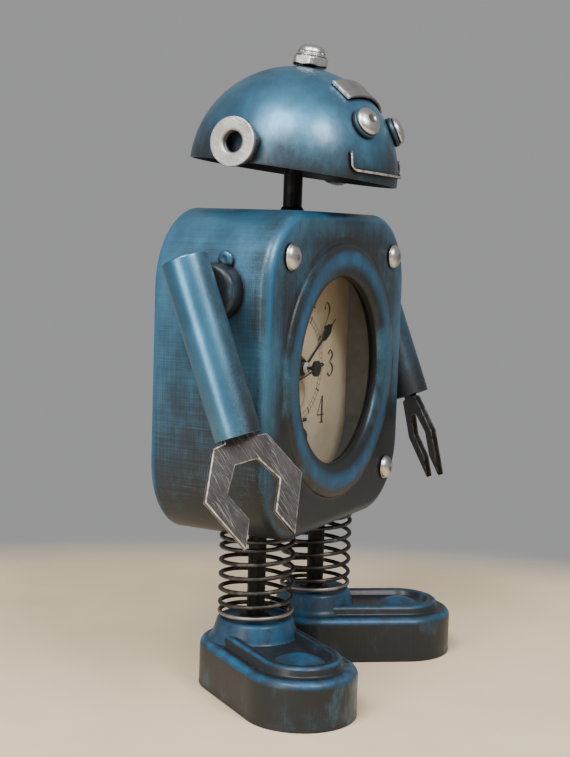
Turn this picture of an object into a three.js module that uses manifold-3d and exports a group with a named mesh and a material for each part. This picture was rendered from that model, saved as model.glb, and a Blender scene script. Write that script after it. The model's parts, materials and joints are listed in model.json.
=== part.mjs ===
// Robot desk clock: a sheet-metal robot figure with a round clock in its chest.
// Millimetres, +Z up. The figure faces -Y and its right arm is on -X.
// Origin: on the ground, midway between the two legs and between the toes and the dome's back.

import * as THREE from 'three';
import { mergeVertices } from 'three/addons/utils/BufferGeometryUtils.js';
import Module from 'manifold-3d';

const wasm = await Module();
wasm.setup();

// ---------------------------------------------------------------- driving dimensions

const GAP = 0.3;                 // kept between parts that touch
const SHEET = 1.2;               // thickness of the pressed steel sheet

const BODY = { width: 149, depth: 56.6, height: 147, bottom: 72.2, corner: 35, edge: 5 };
const FRONT = -BODY.depth / 2;
const BACK = BODY.depth / 2;
const TOP = BODY.bottom + BODY.height;
const CENTRE = BODY.bottom + BODY.height / 2;

const BEZEL = { outer: 59.8, crest: 52, opening: 43.7, height: 2.4, lip: -1.4, reach: 2.9 };
const GASKET = { sleeve: 45.2, skirt: 46.4, outer: 48.6, seat: 47.1, near: 44, far: 44.6, lip: 0.5 };
const GLASS = { radius: 46.8, depth: 3.9, thickness: 1, play: 0.2 };
const CASE = { half: 56, corner: 28, depth: 23.6 };
const DIAL = { half: 55.6, corner: 27.6, depth: 22.5, thickness: 0.8 };
const STUD = { x: 56.2, z: 53.3, radius: 5.9, height: 4.2, neck: 1.8, pillar: 3.2, arc: 74 };
const SCREW = { radius: 1.5, length: 9, head: 3.4, crown: 2.6, rise: 2.2, slot: 0.8 };
const COVER = { inset: 1.5, access: 38 };

const HEAD = { radius: 49, rim: 237.4, y: 0.2, tilt: 6.35, lean: 2.46 };
const NECK = { radius: 4.5, foot: TOP - 9, shoulder: 45, thread: 3, tip: 56.5, nut: 8, nutHeight: 5 };
const CROWN = { washer: 8.5, washerHeight: 1.2, nut: 9.2, nutHeight: 4.35, cap: 5.7, foot: 6.3, rise: 3.3 };
const EYE = { turn: 22, lift: 30.3, radius: 7, depth: 2, rivet: 6.5, bulge: 3.1, chamfer: 0.6 };
const BROW = {
  lift: 55.6, turn: 5.3, roll: 3.65, radius: 49.35, thickness: 1.5, width: 11.6, halfLength: 20.3,
};
const MOUTH = { halfWidth: 26.4, low: 4.4, top: 11.8, lean: 1.62, thickness: 1.2, proud: 1.9, corner: 2.6 };
const EAR = {
  y: 3.5, z: 8.6, skew: 0.8, washer: 10.9, hole: 5.2, thickness: 2,
  nut: 10.9, bore: 5.1, nutHeight: 4.6, nutTurn: 14,
};

const SHOULDER = { x: 94, y: -3.6, z: 183.4, swing: 21.2, boss: 12.3, round: 3, pin: 3, rivet: 5 };
const ARM = { radius: 10, above: 14.7, below: 62.2, chamfer: 0.4 };
const CLAW = { reach: 83.8, turn: 38, thickness: 3.2, chamfer: 0.4, top: 18.6, tip: -23.1, half: 22.3 };
const JAW = { half: 12, top: 10.8, topHalf: 5.3, mouth: 6, mouthHeight: -11.9, tipHalf: 11.3, crest: 12.3 };
const TANG = { half: 7, top: 33 };

const LEG = { x: 31.4, y: -3.6, toeOut: 35, rod: 4.25, inset: 8 };
const SPRING = { outer: 17.75, wire: 1.05, turns: 7, closing: 2.5 };
const FOOT = { length: 96, width: 51.5, wall: 21.9, edge: 3.6, tier: 26.2, seat: 31.8, plate: 1.2 };
const TIER = { inset: 7, edge: 2.2, rim: 11.6, sunk: 3 };
const TOE = { radius: 12, squash: 0.55, buried: 3.4 };
const BELL = { radius: 19.4, low: 15, shoulder: 24, waist: 18.7, top: 17, inner: 16, innerTop: 14.5 };

const SETBACK = 8.7;             // body's middle behind the origin, so the toes and dome balance

const MOVEMENT = { half: 28, corner: 3, front: FRONT + CASE.depth + SHEET + GAP, back: 12, floor: -8 };
const BUSH = { radius: 4, bore: 2.9, length: 4.8, hole: 4.6, nut: 5.6, thread: 4.2, nutHeight: 1.8 };
const TRAIN = { offset: 7.5, front: 0.7, thickness: 1.5, pin: 0.6, bore: 0.85, clearance: 0.4 };
const TOOTH = { root: -1.1, tip: 0.8, rootHalf: 0.3, tipHalf: 0.12 };
const MINUTE_PAIR = { leaves: 12, teeth: 36, module: 0.3125 };
const HOUR_PAIR = { leaves: 10, teeth: 40, module: 0.3, thickness: 1.4 };
const ARBOR = { bore: 0.95, radius: 1.55, tip: 17.4, knob: 5.4, knobHeight: 3.6, knobGap: 3 };
const PIPE = { bore: 1.85, radius: 2.6, tip: 19.3 };
const BATTERY = { radius: 7, half: 24.9, z: -17.1, y: 5, chamfer: 0.6, nub: 2.7, nubHeight: 1.4 };
const CONTACT = { size: 9, thickness: 0.5, gap: 0.4 };

const TIME = { hour: 10, minute: 9.4, second: 43 };
const HOUR_HAND = { length: 26, spade: 3, eye: 4, bore: 2.9, depth: 19.6 };
const MINUTE_HAND = { length: 39.6, spade: 2.6, eye: 3, bore: 1.85, depth: 18.8 };
const SECOND_HAND = { length: 36, tail: 7.5, half: 0.45, point: 0.2, boss: 3.8, depth: 12.2, pin: 0.6 };
const HAND_SHEET = 0.4;

// ---------------------------------------------------------------- looks

const look = (color, roughness, metalness) =>
  new THREE.MeshStandardMaterial({ color, roughness, metalness });

const LOOKS = {
  paint: () => look(0x24506b, 0.45, 0.5),
  bare: () => look(0x8a8580, 0.4, 1),
  polished: () => look(0xb8b4ae, 0.25, 1),
  dark: () => look(0x25221f, 0.5, 0.8),
  black: () => look(0x111111, 0.5, 0),
  dial: () => look(0xcdbf9c, 0.8, 0),
  glass: () => look(0xe8f0f0, 0.05, 0),
  plastic: () => look(0x2a2a2c, 0.6, 0),
  white: () => look(0xd8d8d4, 0.5, 0),
  brass: () => look(0xb08d4a, 0.35, 1),
  cell: () => look(0x9a9fa3, 0.35, 0.7),
};

// ---------------------------------------------------------------- solid helpers

const radians = THREE.MathUtils.degToRad;
const REACH = 300;               // longer than the robot, for blocks that cut all beyond a plane

function signedVolume(geometry) {
  const place = geometry.attributes.position;
  const index = geometry.index.array;
  const [a, b, c] = [new THREE.Vector3(), new THREE.Vector3(), new THREE.Vector3()];
  let volume = 0;
  for (let i = 0; i < index.length; i += 3) {
    a.fromBufferAttribute(place, index[i]);
    b.fromBufferAttribute(place, index[i + 1]);
    c.fromBufferAttribute(place, index[i + 2]);
    volume += a.dot(b.cross(c)) / 6;
  }
  return volume;
}

// One closed mesh: shared vertices merged, slivers dropped, faces pointing out.
function weld(geometry) {
  const bare = geometry.clone();
  bare.deleteAttribute('normal');
  bare.deleteAttribute('uv');
  const merged = mergeVertices(bare, 1e-4);
  const index = merged.index.array;
  const kept = [];
  for (let i = 0; i < index.length; i += 3) {
    const [a, b, c] = [index[i], index[i + 1], index[i + 2]];
    if (a !== b && b !== c && c !== a) kept.push(a, b, c);
  }
  merged.setIndex(kept);
  if (signedVolume(merged) < 0) merged.setIndex(kept.reverse());
  return merged;
}

function toSolid(geometry) {
  const closed = weld(geometry);
  const vertProperties = new Float32Array(closed.attributes.position.array);
  const triVerts = new Uint32Array(closed.index.array);
  return new wasm.Manifold(new wasm.Mesh({ numProp: 3, vertProperties, triVerts }));
}

function toGeometry(solid) {
  const mesh = solid.getMesh();
  const geometry = new THREE.BufferGeometry();
  geometry.setAttribute('position', new THREE.BufferAttribute(mesh.vertProperties, 3));
  geometry.setIndex(Array.from(mesh.triVerts));
  return geometry;
}

function join(first, ...others) {
  return toGeometry(others.reduce((sum, other) => sum.add(toSolid(other)), toSolid(first)));
}

function cut(base, ...tools) {
  return toGeometry(tools.reduce((rest, tool) => rest.subtract(toSolid(tool)), toSolid(base)));
}

function overlap(first, second) {
  return toGeometry(toSolid(first).intersect(toSolid(second)));
}

function part(name, geometry, material) {
  const closed = weld(geometry);
  closed.computeVertexNormals();
  const mesh = new THREE.Mesh(closed, material());
  mesh.name = name;
  return mesh;
}

// ---------------------------------------------------------------- shape helpers

const points = (pairs) => pairs.map(([r, h]) => new THREE.Vector2(r, h));

// Solid of revolution about Z: profile pairs are [radius, height].
function turned(profile, segments = 24) {
  const closed = profile[0][0] > 0 ? [...profile, profile[0]] : profile;
  return new THREE.LatheGeometry(points(closed), segments).rotateX(Math.PI / 2);
}

// Solid of revolution about the front-to-back axis: pairs are [radius, depth towards +Y].
function turnedInward(profile, segments = 24) {
  const closed = profile[0][0] > 0 ? [...profile, profile[0]] : profile;
  return new THREE.LatheGeometry(points(closed), segments);
}

// Solid of revolution about X: pairs are [radius, distance along the given side].
function turnedSideways(profile, side, segments = 24) {
  return turnedInward(profile, segments).rotateZ(-side * Math.PI / 2);
}

const arc = (count, from, to, place) =>
  Array.from({ length: count + 1 }, (_, i) => place(radians(from + ((to - from) * i) / count)));

function roundedSquare(halfWidth, halfHeight, radius) {
  const shape = new THREE.Shape();
  const [x, y] = [halfWidth - radius, halfHeight - radius];
  shape.absarc(x, y, radius, 0, Math.PI / 2);
  shape.absarc(-x, y, radius, Math.PI / 2, Math.PI);
  shape.absarc(-x, -y, radius, Math.PI, 1.5 * Math.PI);
  shape.absarc(x, -y, radius, 1.5 * Math.PI, 2 * Math.PI);
  return shape;
}

// A stadium round the leg axis: the heel arc is centred on it and the toe points to -Y.
function stadium(inset) {
  const shape = new THREE.Shape();
  const radius = FOOT.width / 2 - inset;
  shape.absarc(0, 0, radius, 0, Math.PI);
  shape.absarc(0, FOOT.width - FOOT.length, radius, Math.PI, 2 * Math.PI);
  return shape;
}

// Flat or bevelled plate drawn in the X-Z plane between two depths.
function plate(shape, front, back, segments = 5, edge = 0) {
  const bevel = { bevelThickness: edge, bevelSize: edge, bevelOffset: -edge, bevelSegments: 2 };
  const geometry = new THREE.ExtrudeGeometry(shape, {
    depth: back - front - 2 * edge,
    curveSegments: segments,
    bevelEnabled: edge > 0,
    ...bevel,
  });
  return geometry.rotateX(Math.PI / 2).translate(0, back - edge, 0);
}

// Upright block over a ground outline, with its top edge rounded by a radius.
function block(shape, bottom, top, edge) {
  const geometry = new THREE.ExtrudeGeometry(shape, {
    depth: top - bottom,
    curveSegments: 7,
    bevelEnabled: edge > 0,
    bevelThickness: edge,
    bevelSize: edge,
    bevelOffset: -edge,
    bevelSegments: 2,
  });
  geometry.translate(0, 0, bottom - edge);
  if (edge === 0) return geometry;
  const below = new THREE.BoxGeometry(REACH, REACH, 2 * edge).translate(0, 0, bottom - edge);
  return cut(geometry, below);
}

function disc(radius, front, back, segments = 24) {
  const length = back - front;
  return new THREE.CylinderGeometry(radius, radius, length, segments).translate(0, front + length / 2, 0);
}

function post(radius, bottom, top, segments = 14) {
  return turned([[0, bottom], [radius, bottom], [radius, top], [0, top]], segments);
}

const NUT_CHAMFER = 0.13;

// Hexagonal nut about Z with its upper corners turned off.
function hexNut(radius, bore, bottom, top) {
  const hex = new THREE.CylinderGeometry(radius, radius, top - bottom, 6).rotateX(Math.PI / 2);
  hex.translate(0, 0, (top + bottom) / 2);
  const dome = turned([
    [0, bottom - 1], [radius, bottom - 1], [radius, top - radius * NUT_CHAMFER],
    [radius * (1 - NUT_CHAMFER), top], [radius * (1 - NUT_CHAMFER), top + 1], [0, top + 1],
  ], 18);
  return cut(overlap(hex, dome), post(bore, bottom - 2, top + 2));
}

// ---------------------------------------------------------------- body

function bodyBlock(inset, front, back) {
  const shape = roundedSquare(
    BODY.width / 2 - inset, BODY.height / 2 - inset, BODY.corner - inset);
  const rounded = plate(shape, front, back + BODY.corner, 6, BODY.edge - inset);
  const behind = new THREE.BoxGeometry(REACH, REACH, REACH).translate(0, back + REACH / 2, 0);
  return cut(rounded, behind);
}

// Hole along a front-to-back axis through whatever stands near the given depth.
const drilled = (radius, depth, segments) => disc(radius + GAP, depth - 5, depth + 5, segments);

function bodyShell() {
  const outer = bodyBlock(0, FRONT, BACK).translate(0, 0, CENTRE);
  const inner = bodyBlock(SHEET, FRONT + SHEET, BACK + 1).translate(0, 0, CENTRE);
  const upright = (radius, height) => post(radius + GAP, height - 5, height + 5);
  const holes = [
    drilled(GASKET.seat - GAP, FRONT, 32).translate(0, 0, CENTRE),
    upright(NECK.radius, TOP).translate(0, HEAD.y, 0),
  ];
  const pin = SHOULDER.pin + GAP;
  const [inside, outside] = [BODY.width / 2 - 10, BODY.width / 2 + 10];
  for (const side of [-1, 1]) {
    holes.push(
      upright(LEG.rod, BODY.bottom).translate(side * LEG.x, LEG.y, 0),
      turnedSideways([[0, inside], [pin, inside], [pin, outside], [0, outside]], side, 12)
        .translate(0, SHOULDER.y, SHOULDER.z));
    for (const level of [-1, 1]) {
      holes.push(drilled(STUD.neck, FRONT, 12).translate(side * STUD.x, 0, CENTRE + level * STUD.z));
    }
  }
  return cut(outer, inner, ...holes);
}

function rearCover() {
  const back = BACK - COVER.inset;
  const inset = SHEET + GAP;
  const shape = roundedSquare(
    BODY.width / 2 - inset, BODY.height / 2 - inset, BODY.corner - inset);
  const holes = [drilled(COVER.access - GAP, back, 28)];
  for (const side of [-1, 1]) {
    for (const level of [-1, 1]) {
      holes.push(drilled(SCREW.radius, back, 10).translate(side * STUD.x, 0, level * STUD.z));
    }
  }
  return cut(plate(shape, back - SHEET, back), ...holes).translate(0, 0, CENTRE);
}

// Slotted pan head with its shank, driven from the back into a stud's pillar.
function coverScrew() {
  const { radius, length, head, crown, rise } = SCREW;
  const back = BACK - COVER.inset;
  const body = turnedInward([
    [0, back - length], [radius, back - length], [radius, back + GAP], [head, back + GAP],
    [crown, back + rise - GAP], [0, back + rise],
  ], 12);
  const slot = new THREE.BoxGeometry(SCREW.slot, rise, 2 * head + 1).translate(0, back + rise, 0);
  return cut(body, slot);
}

// Domed head outside, pillar inside: it ties the front panel to the rear cover.
function frontStud() {
  const { radius, height, neck, pillar } = STUD;
  const face = FRONT - GAP;
  const dome = arc(3, 0, STUD.arc, (a) => [radius * Math.cos(a), face - height * Math.sin(a)]);
  const end = BACK - COVER.inset - SHEET - GAP;
  const inside = FRONT + SHEET + GAP;
  const bore = SCREW.radius + GAP;
  return turnedInward([
    [0, face - height * 0.97], ...dome.reverse(), [neck, face], [neck, inside],
    [pillar, inside], [pillar, end], [bore, end], [bore, end - SCREW.length], [0, end - SCREW.length],
  ], 14);
}

// ---------------------------------------------------------------- clock

// Pressed ring of one sheet: rounded outside, rolled over its crest and turned in to the glass.
function bezelRing() {
  const { outer, crest, opening, height, lip, reach } = BEZEL;
  const roll = (sheet) => (a) => [
    crest + (outer - sheet - crest) * Math.cos(a), GAP + (height - sheet - GAP) * Math.sin(a)];
  const turnIn = (sheet) => (a) => [
    crest + (crest - opening - sheet) * Math.cos(a), lip + (height - sheet - lip) * Math.sin(a)];
  const profile = [
    ...arc(3, 0, 90, roll(0)), ...arc(3, 90, 170, turnIn(0)).slice(1),
    [opening, lip - SHEET / 2], [opening, -reach],
    [opening + SHEET, -reach], [opening + SHEET, lip],
    ...arc(2, 165, 90, turnIn(SHEET)), ...arc(2, 90, 0, roll(SHEET)).slice(1),
  ];
  return turnedInward(profile.map(([r, h]) => [r, FRONT - h]), 32);
}

// Rubber channel round the glass, with a sleeve that slips over the bezel's inner wall.
function glassGasket() {
  const { sleeve, skirt, outer, seat, near, far, lip } = GASKET;
  const start = FRONT + SHEET + GAP + 0.5;
  const front = FRONT + GLASS.depth - GLASS.play;
  const back = FRONT + GLASS.depth + GLASS.thickness + GLASS.play;
  return turnedInward([
    [sleeve, start], [skirt, start], [outer, front - lip], [outer, back + lip], [far, back + lip],
    [far, back], [seat, back], [seat, front], [near, front], [near, front - lip],
    [sleeve, front - lip],
  ], 28);
}

function clockGlass() {
  const front = FRONT + GLASS.depth;
  return disc(GLASS.radius, front, front + GLASS.thickness, 32);
}

function clockCase() {
  const front = FRONT + SHEET + GAP;
  const back = FRONT + CASE.depth + SHEET;
  const outer = plate(
    roundedSquare(CASE.half + SHEET, CASE.half + SHEET, CASE.corner + SHEET), front, back);
  const inner = plate(
    roundedSquare(CASE.half, CASE.half, CASE.corner), front - 5, FRONT + CASE.depth);
  return cut(outer, inner, drilled(BUSH.hole - GAP, back, 24));
}

function clockDial() {
  const front = FRONT + DIAL.depth;
  const sheet = plate(roundedSquare(DIAL.half, DIAL.half, DIAL.corner), front, front + DIAL.thickness);
  return cut(sheet, drilled(BUSH.hole - GAP, front, 24));
}

// Gear drawn about the front-to-back axis, first tooth on +X turned by a share of a pitch.
function gear({ teeth, module, front, thickness, bore = 0, turn = 0 }) {
  const pitch = (teeth * module) / 2;
  const step = (2 * Math.PI) / teeth;
  const { root, tip, rootHalf, tipHalf } = TOOTH;
  const corners = [[-rootHalf, root], [-tipHalf, tip], [tipHalf, tip], [rootHalf, root]];
  const outline = [];
  for (let tooth = 0; tooth < teeth; tooth++) {
    for (const [along, out] of corners) {
      const angle = (tooth + turn + along) * step;
      const radius = pitch + out * module;
      outline.push([radius * Math.cos(angle), radius * Math.sin(angle)]);
    }
  }
  const shape = new THREE.Shape(points(outline));
  if (bore > 0) {
    const hole = new THREE.Path();
    hole.absarc(0, 0, bore, 0, 2 * Math.PI);
    shape.holes.push(hole);
  }
  return plate(shape, front, front + thickness, 8);
}

// Square housing with a gear room above, a cell bay below and the threaded bush in front.
function movementCase() {
  const { half, corner, front, back, floor } = MOVEMENT;
  const room = (inset, yFront, zLow, zHigh) =>
    new THREE.BoxGeometry(2 * (half - inset), back + 1 - yFront, zHigh - zLow)
      .translate(0, (yFront + back + 1) / 2, (zLow + zHigh) / 2);
  const wall = SHEET + 0.4;
  const housing = join(
    plate(roundedSquare(half, half, corner), front, back, 4),
    disc(BUSH.radius, front - BUSH.length, front + 1, 20));
  const pinEnd = TRAIN.front + TRAIN.thickness + TRAIN.clearance;
  const hollow = cut(housing,
    room(SHEET, front + SHEET, floor, half - SHEET),
    room(wall, front + 0.7, corner - half, floor - SHEET),
    disc(BUSH.bore, front - 2 * BUSH.length, front + 5, 16));
  return join(hollow, disc(TRAIN.pin, front + 0.5, pinEnd, 12).translate(TRAIN.offset, 0, 0));
}

function movementCover() {
  const half = MOVEMENT.half - GAP / 2;
  const low = MOVEMENT.floor - SHEET / 2;
  const front = MOVEMENT.back + GAP;
  const shape = new THREE.Shape(points([[-half, low], [half, low], [half, half], [-half, half]]));
  return cut(plate(shape, front, front + 1), drilled(ARBOR.radius + GAP, front, 20));
}

function movementNut() {
  const face = FRONT + DIAL.depth - GAP;
  return hexNut(BUSH.nut, BUSH.thread, 0, BUSH.nutHeight).rotateX(Math.PI / 2).translate(0, face, 0);
}

// Hollow arbor: knob behind, pinion in the gear room, seat for the minute hand in front.
function minuteArbor() {
  const { bore, radius, tip, knob, knobHeight, knobGap } = ARBOR;
  const knobFront = MOVEMENT.back + knobGap;
  const [front, back] = [FRONT + tip, knobFront + 0.8];
  const tube = turnedInward([[bore, front], [radius, front], [radius, back], [bore, back]], 12);
  const pinion = gear({
    teeth: MINUTE_PAIR.leaves, module: MINUTE_PAIR.module,
    front: TRAIN.front, thickness: TRAIN.thickness, bore: (bore + radius) / 2,
  });
  return join(tube, pinion, disc(knob, knobFront, knobFront + knobHeight, 14));
}

const WHEEL_FRONT = MOVEMENT.front + SHEET + TRAIN.clearance;

// Wheel on a pipe that carries the hour hand through the bush.
function hourWheel() {
  const { bore, radius, tip } = PIPE;
  const [front, back] = [FRONT + tip, WHEEL_FRONT + HOUR_PAIR.thickness];
  const pipe = turnedInward([[bore, front], [radius, front], [radius, back], [bore, back]], 20);
  return join(pipe, gear({
    teeth: HOUR_PAIR.teeth, module: HOUR_PAIR.module,
    front: WHEEL_FRONT, thickness: HOUR_PAIR.thickness, bore: (bore + radius) / 2,
  }));
}

// Wheel driven by the arbor's pinion, with a second pinion that drives the hour wheel.
function motionWheel() {
  const wheel = gear({
    teeth: MINUTE_PAIR.teeth, module: MINUTE_PAIR.module,
    front: TRAIN.front, thickness: TRAIN.thickness, bore: TRAIN.bore, turn: 0.5,
  });
  const pinion = gear({
    teeth: HOUR_PAIR.leaves, module: HOUR_PAIR.module,
    front: WHEEL_FRONT, thickness: TRAIN.front - WHEEL_FRONT + 0.4, bore: TRAIN.bore, turn: 0.5,
  });
  return join(wheel, pinion).translate(TRAIN.offset, 0, 0);
}

// Spade-shaped clock hand pointing up, round an eye at the axis.
function spadeHand({ length, spade, eye, bore, depth }) {
  const half = [[0.7, -eye], [0.55, length * 0.6], [spade, length * 0.68],
    [spade * 0.75, length * 0.84], [0.3, length]];
  const mirrored = half.map(([x, z]) => [-x, z]).reverse();
  const front = FRONT + depth;
  const blade = plate(new THREE.Shape(points([...half, ...mirrored])), front, front + HAND_SHEET);
  return cut(
    join(blade, disc(eye, front - 0.1, front + HAND_SHEET + 0.1, 24)),
    drilled(bore - GAP, front, 24));
}

// Round nut that holds the minute hand on its arbor.
function handNut() {
  const front = FRONT + ARBOR.tip - 0.4;
  const back = front + 1.5;
  return turnedInward([
    [PIPE.bore, front], [PIPE.radius, front], [PIPE.radius, back], [PIPE.bore, back],
  ], 16);
}

// Thin needle with a short tail on a boss, and the arbor pin behind it.
function secondHand() {
  const { length, tail, half, point, boss, depth, pin } = SECOND_HAND;
  const front = FRONT + depth;
  const needle = new THREE.Shape(points([
    [-half, -tail], [half, -tail], [point, length], [-point, length]]));
  const end = TRAIN.front + TRAIN.thickness + 1.3;
  return join(
    plate(needle, front + 0.1, front + 0.1 + HAND_SHEET),
    disc(boss, front, front + 1.4, 24),
    disc(1, front + 0.5, FRONT + 16, 14),
    turnedInward([[0, front], [pin, front], [pin, end], [0, end]], 10));
}

function battery() {
  const { radius, half, chamfer, nub, nubHeight } = BATTERY;
  const shoulder = half - nubHeight;
  return turnedSideways([
    [0, -half], [radius - chamfer, -half], [radius, chamfer - half], [radius, shoulder - chamfer],
    [radius - chamfer, shoulder], [nub, shoulder], [nub, half], [0, half],
  ], 1, 24).translate(0, BATTERY.y, BATTERY.z);
}

function batteryContact(side) {
  const { size, thickness, gap } = CONTACT;
  const x = BATTERY.half + gap + thickness / 2;
  return new THREE.BoxGeometry(thickness, size, size).translate(side * x, BATTERY.y, BATTERY.z);
}

function clockGroup() {
  const clock = new THREE.Group();
  clock.position.set(0, 0, CENTRE);
  const hour = part('hour_hand', spadeHand(HOUR_HAND), LOOKS.black);
  hour.rotation.y = (2 * Math.PI * (TIME.hour + TIME.minute / 60)) / 12;
  const minute = part('minute_hand', spadeHand(MINUTE_HAND), LOOKS.black);
  minute.rotation.y = (2 * Math.PI * TIME.minute) / 60;
  const second = part('second_hand', secondHand(), LOOKS.black);
  second.rotation.y = (2 * Math.PI * TIME.second) / 60;
  clock.add(
    part('bezel_ring', bezelRing(), LOOKS.paint),
    part('glass_gasket', glassGasket(), LOOKS.black),
    part('clock_glass', clockGlass(), LOOKS.glass),
    part('clock_case', clockCase(), LOOKS.dark),
    part('clock_dial', clockDial(), LOOKS.dial),
    part('movement_case', movementCase(), LOOKS.plastic),
    part('movement_cover', movementCover(), LOOKS.plastic),
    part('movement_nut', movementNut(), LOOKS.brass),
    part('battery_contact_1', batteryContact(-1), LOOKS.polished),
    part('battery_contact_2', batteryContact(1), LOOKS.polished),
    part('battery', battery(), LOOKS.cell),
    part('minute_arbor', minuteArbor(), LOOKS.white),
    part('hour_wheel', hourWheel(), LOOKS.white),
    part('motion_wheel', motionWheel(), LOOKS.white),
    part('hand_nut', handNut(), LOOKS.white),
    hour, minute, second);
  return clock;
}

// ---------------------------------------------------------------- neck and head

// Straight up from the body, then bent to the dome's leaning axis, with a thread on top.
function neckRod() {
  const { radius, foot, shoulder, thread, tip } = NECK;
  const lower = post(radius, foot, HEAD.rim).translate(0, HEAD.y, 0);
  const knee = new THREE.SphereGeometry(radius, 16, 8).translate(0, HEAD.y, HEAD.rim);
  const upper = turned([
    [0, 0], [radius, 0], [radius, shoulder], [thread, shoulder], [thread, tip], [0, tip],
  ], 16);
  upper.rotateY(radians(HEAD.lean)).rotateX(radians(HEAD.tilt)).translate(0, HEAD.y, HEAD.rim);
  return join(lower, knee, upper);
}

function neckNut() {
  const top = TOP - SHEET - GAP;
  return hexNut(NECK.nut, NECK.radius + GAP, top - NECK.nutHeight, top).translate(0, HEAD.y, 0);
}

function headDome() {
  const inner = HEAD.radius - SHEET;
  const hole = NECK.thread + 0.4;
  const rise = (radius) => Math.acos(hole / radius) * THREE.MathUtils.RAD2DEG;
  const at = (radius) => (a) => [radius * Math.cos(a), radius * Math.sin(a)];
  return turned([
    ...arc(9, 0, rise(HEAD.radius), at(HEAD.radius)),
    ...arc(6, rise(inner), 0, at(inner)),
  ], 32);
}

function headWasher() {
  const bore = NECK.thread + 0.4;
  const foot = NECK.shoulder + 0.4;
  const top = foot + CROWN.washerHeight;
  return turned([[bore, foot], [CROWN.washer, foot], [CROWN.washer, top], [bore, top]], 20);
}

const ANTENNA = HEAD.radius + 0.35;

function antennaNut() {
  return hexNut(CROWN.nut, NECK.thread + 0.4, ANTENNA, ANTENNA + CROWN.nutHeight)
    .rotateZ(Math.PI / 6);
}

// Domed cap nut with a flared foot, screwed over the end of the neck rod.
function antennaCap() {
  const { cap, rise } = CROWN;
  const foot = ANTENNA + CROWN.nutHeight + GAP;
  const bore = NECK.thread + 0.4;
  const dome = arc(4, 0, 90, (a) => [cap * Math.cos(a), foot + 2.3 + rise * Math.sin(a)]);
  return turned([
    [0, NECK.tip + 0.5], [bore, NECK.tip + 0.5], [bore, foot], [CROWN.foot, foot],
    [CROWN.foot - 0.1, foot + 0.7], [cap, foot + 1.3], ...dome,
  ], 20);
}

// Curved strip laid on the forehead, a little askew.
function eyebrow() {
  const { radius, thickness, width, halfLength, lift, turn, roll } = BROW;
  const half = Math.asin(halfLength / radius);
  const shape = new THREE.Shape();
  shape.absarc(0, 0, radius + thickness, Math.PI / 2 - half, Math.PI / 2 + half);
  shape.absarc(0, 0, radius, Math.PI / 2 + half, Math.PI / 2 - half, true);
  const strip = new THREE.ExtrudeGeometry(shape, { depth: width, curveSegments: 10, bevelEnabled: false });
  return strip.translate(0, 0, -width / 2)
    .rotateY(-radians(roll)).rotateX(radians(180 - lift)).rotateZ(radians(turn));
}

// U-shaped strip on edge, following the dome just above its rim and leaning a little to one side.
function mouth() {
  const { halfWidth, low, top, lean, thickness, proud, corner } = MOUTH;
  const edge = thickness / 2;
  const bend = (radius, from, to, x) => arc(3, from, to, (a) => [
    x + radius * Math.cos(a), low + corner + radius * Math.sin(a)]);
  const x = halfWidth - corner;
  const outline = [
    [-halfWidth - edge, top], ...bend(corner + edge, 180, 270, -x), ...bend(corner + edge, 270, 360, x),
    [halfWidth + edge, top], [halfWidth - edge, top], ...bend(corner - edge, 360, 270, x),
    ...bend(corner - edge, 270, 180, -x), [-halfWidth + edge, top],
  ];
  const band = plate(new THREE.Shape(points(outline)), -HEAD.radius - 10, -HEAD.radius / 3);
  const ball = (radius) => new THREE.SphereGeometry(radius, 40, 26);
  return cut(overlap(band, ball(HEAD.radius + proud)), ball(HEAD.radius + GAP)).rotateY(-radians(lean));
}

// Things on the dome's skin are drawn round +Z and swung to their own direction.
function onDome(geometry, turn, lift) {
  return geometry.rotateX(radians(90 - lift)).rotateZ(radians(turn));
}

function eyeBase() {
  const { radius, depth, chamfer } = EYE;
  const foot = HEAD.radius + GAP;
  const face = foot + depth;
  return turned([
    [0, foot], [radius - chamfer, foot], [radius, foot + chamfer], [radius, face - chamfer],
    [radius - chamfer, face], [0, face],
  ], 20);
}

function eyeRivet() {
  const { rivet, bulge, depth } = EYE;
  const foot = HEAD.radius + 2 * GAP + depth;
  const brim = foot + 0.5;
  const dome = arc(4, 0, 78, (a) => [rivet * Math.cos(a), brim + bulge * Math.sin(a)]);
  return turned([[0, foot], [rivet, foot], ...dome, [0, brim + bulge * 0.98]], 20);
}

// The ears sit a little askew: the left one is set higher than the right.
const onEar = (geometry, side) =>
  geometry.rotateY((side * Math.PI) / 2).translate(0, EAR.y, EAR.z + side * EAR.skew);

function earNut(side) {
  const near = HEAD.radius + GAP;
  const nut = hexNut(EAR.nut, EAR.bore, near, near + EAR.nutHeight);
  return onEar(nut.rotateZ(side * radians(EAR.nutTurn)), side);
}

function earWasher(side) {
  const { washer, hole, thickness } = EAR;
  const near = HEAD.radius + GAP + EAR.nutHeight + GAP;
  const far = near + thickness;
  return onEar(turned([
    [hole, near], [washer, near], [washer, far - 0.3], [washer - 0.3, far], [hole + 0.5, far],
    [hole, far - 0.5],
  ], 28), side);
}

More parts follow.
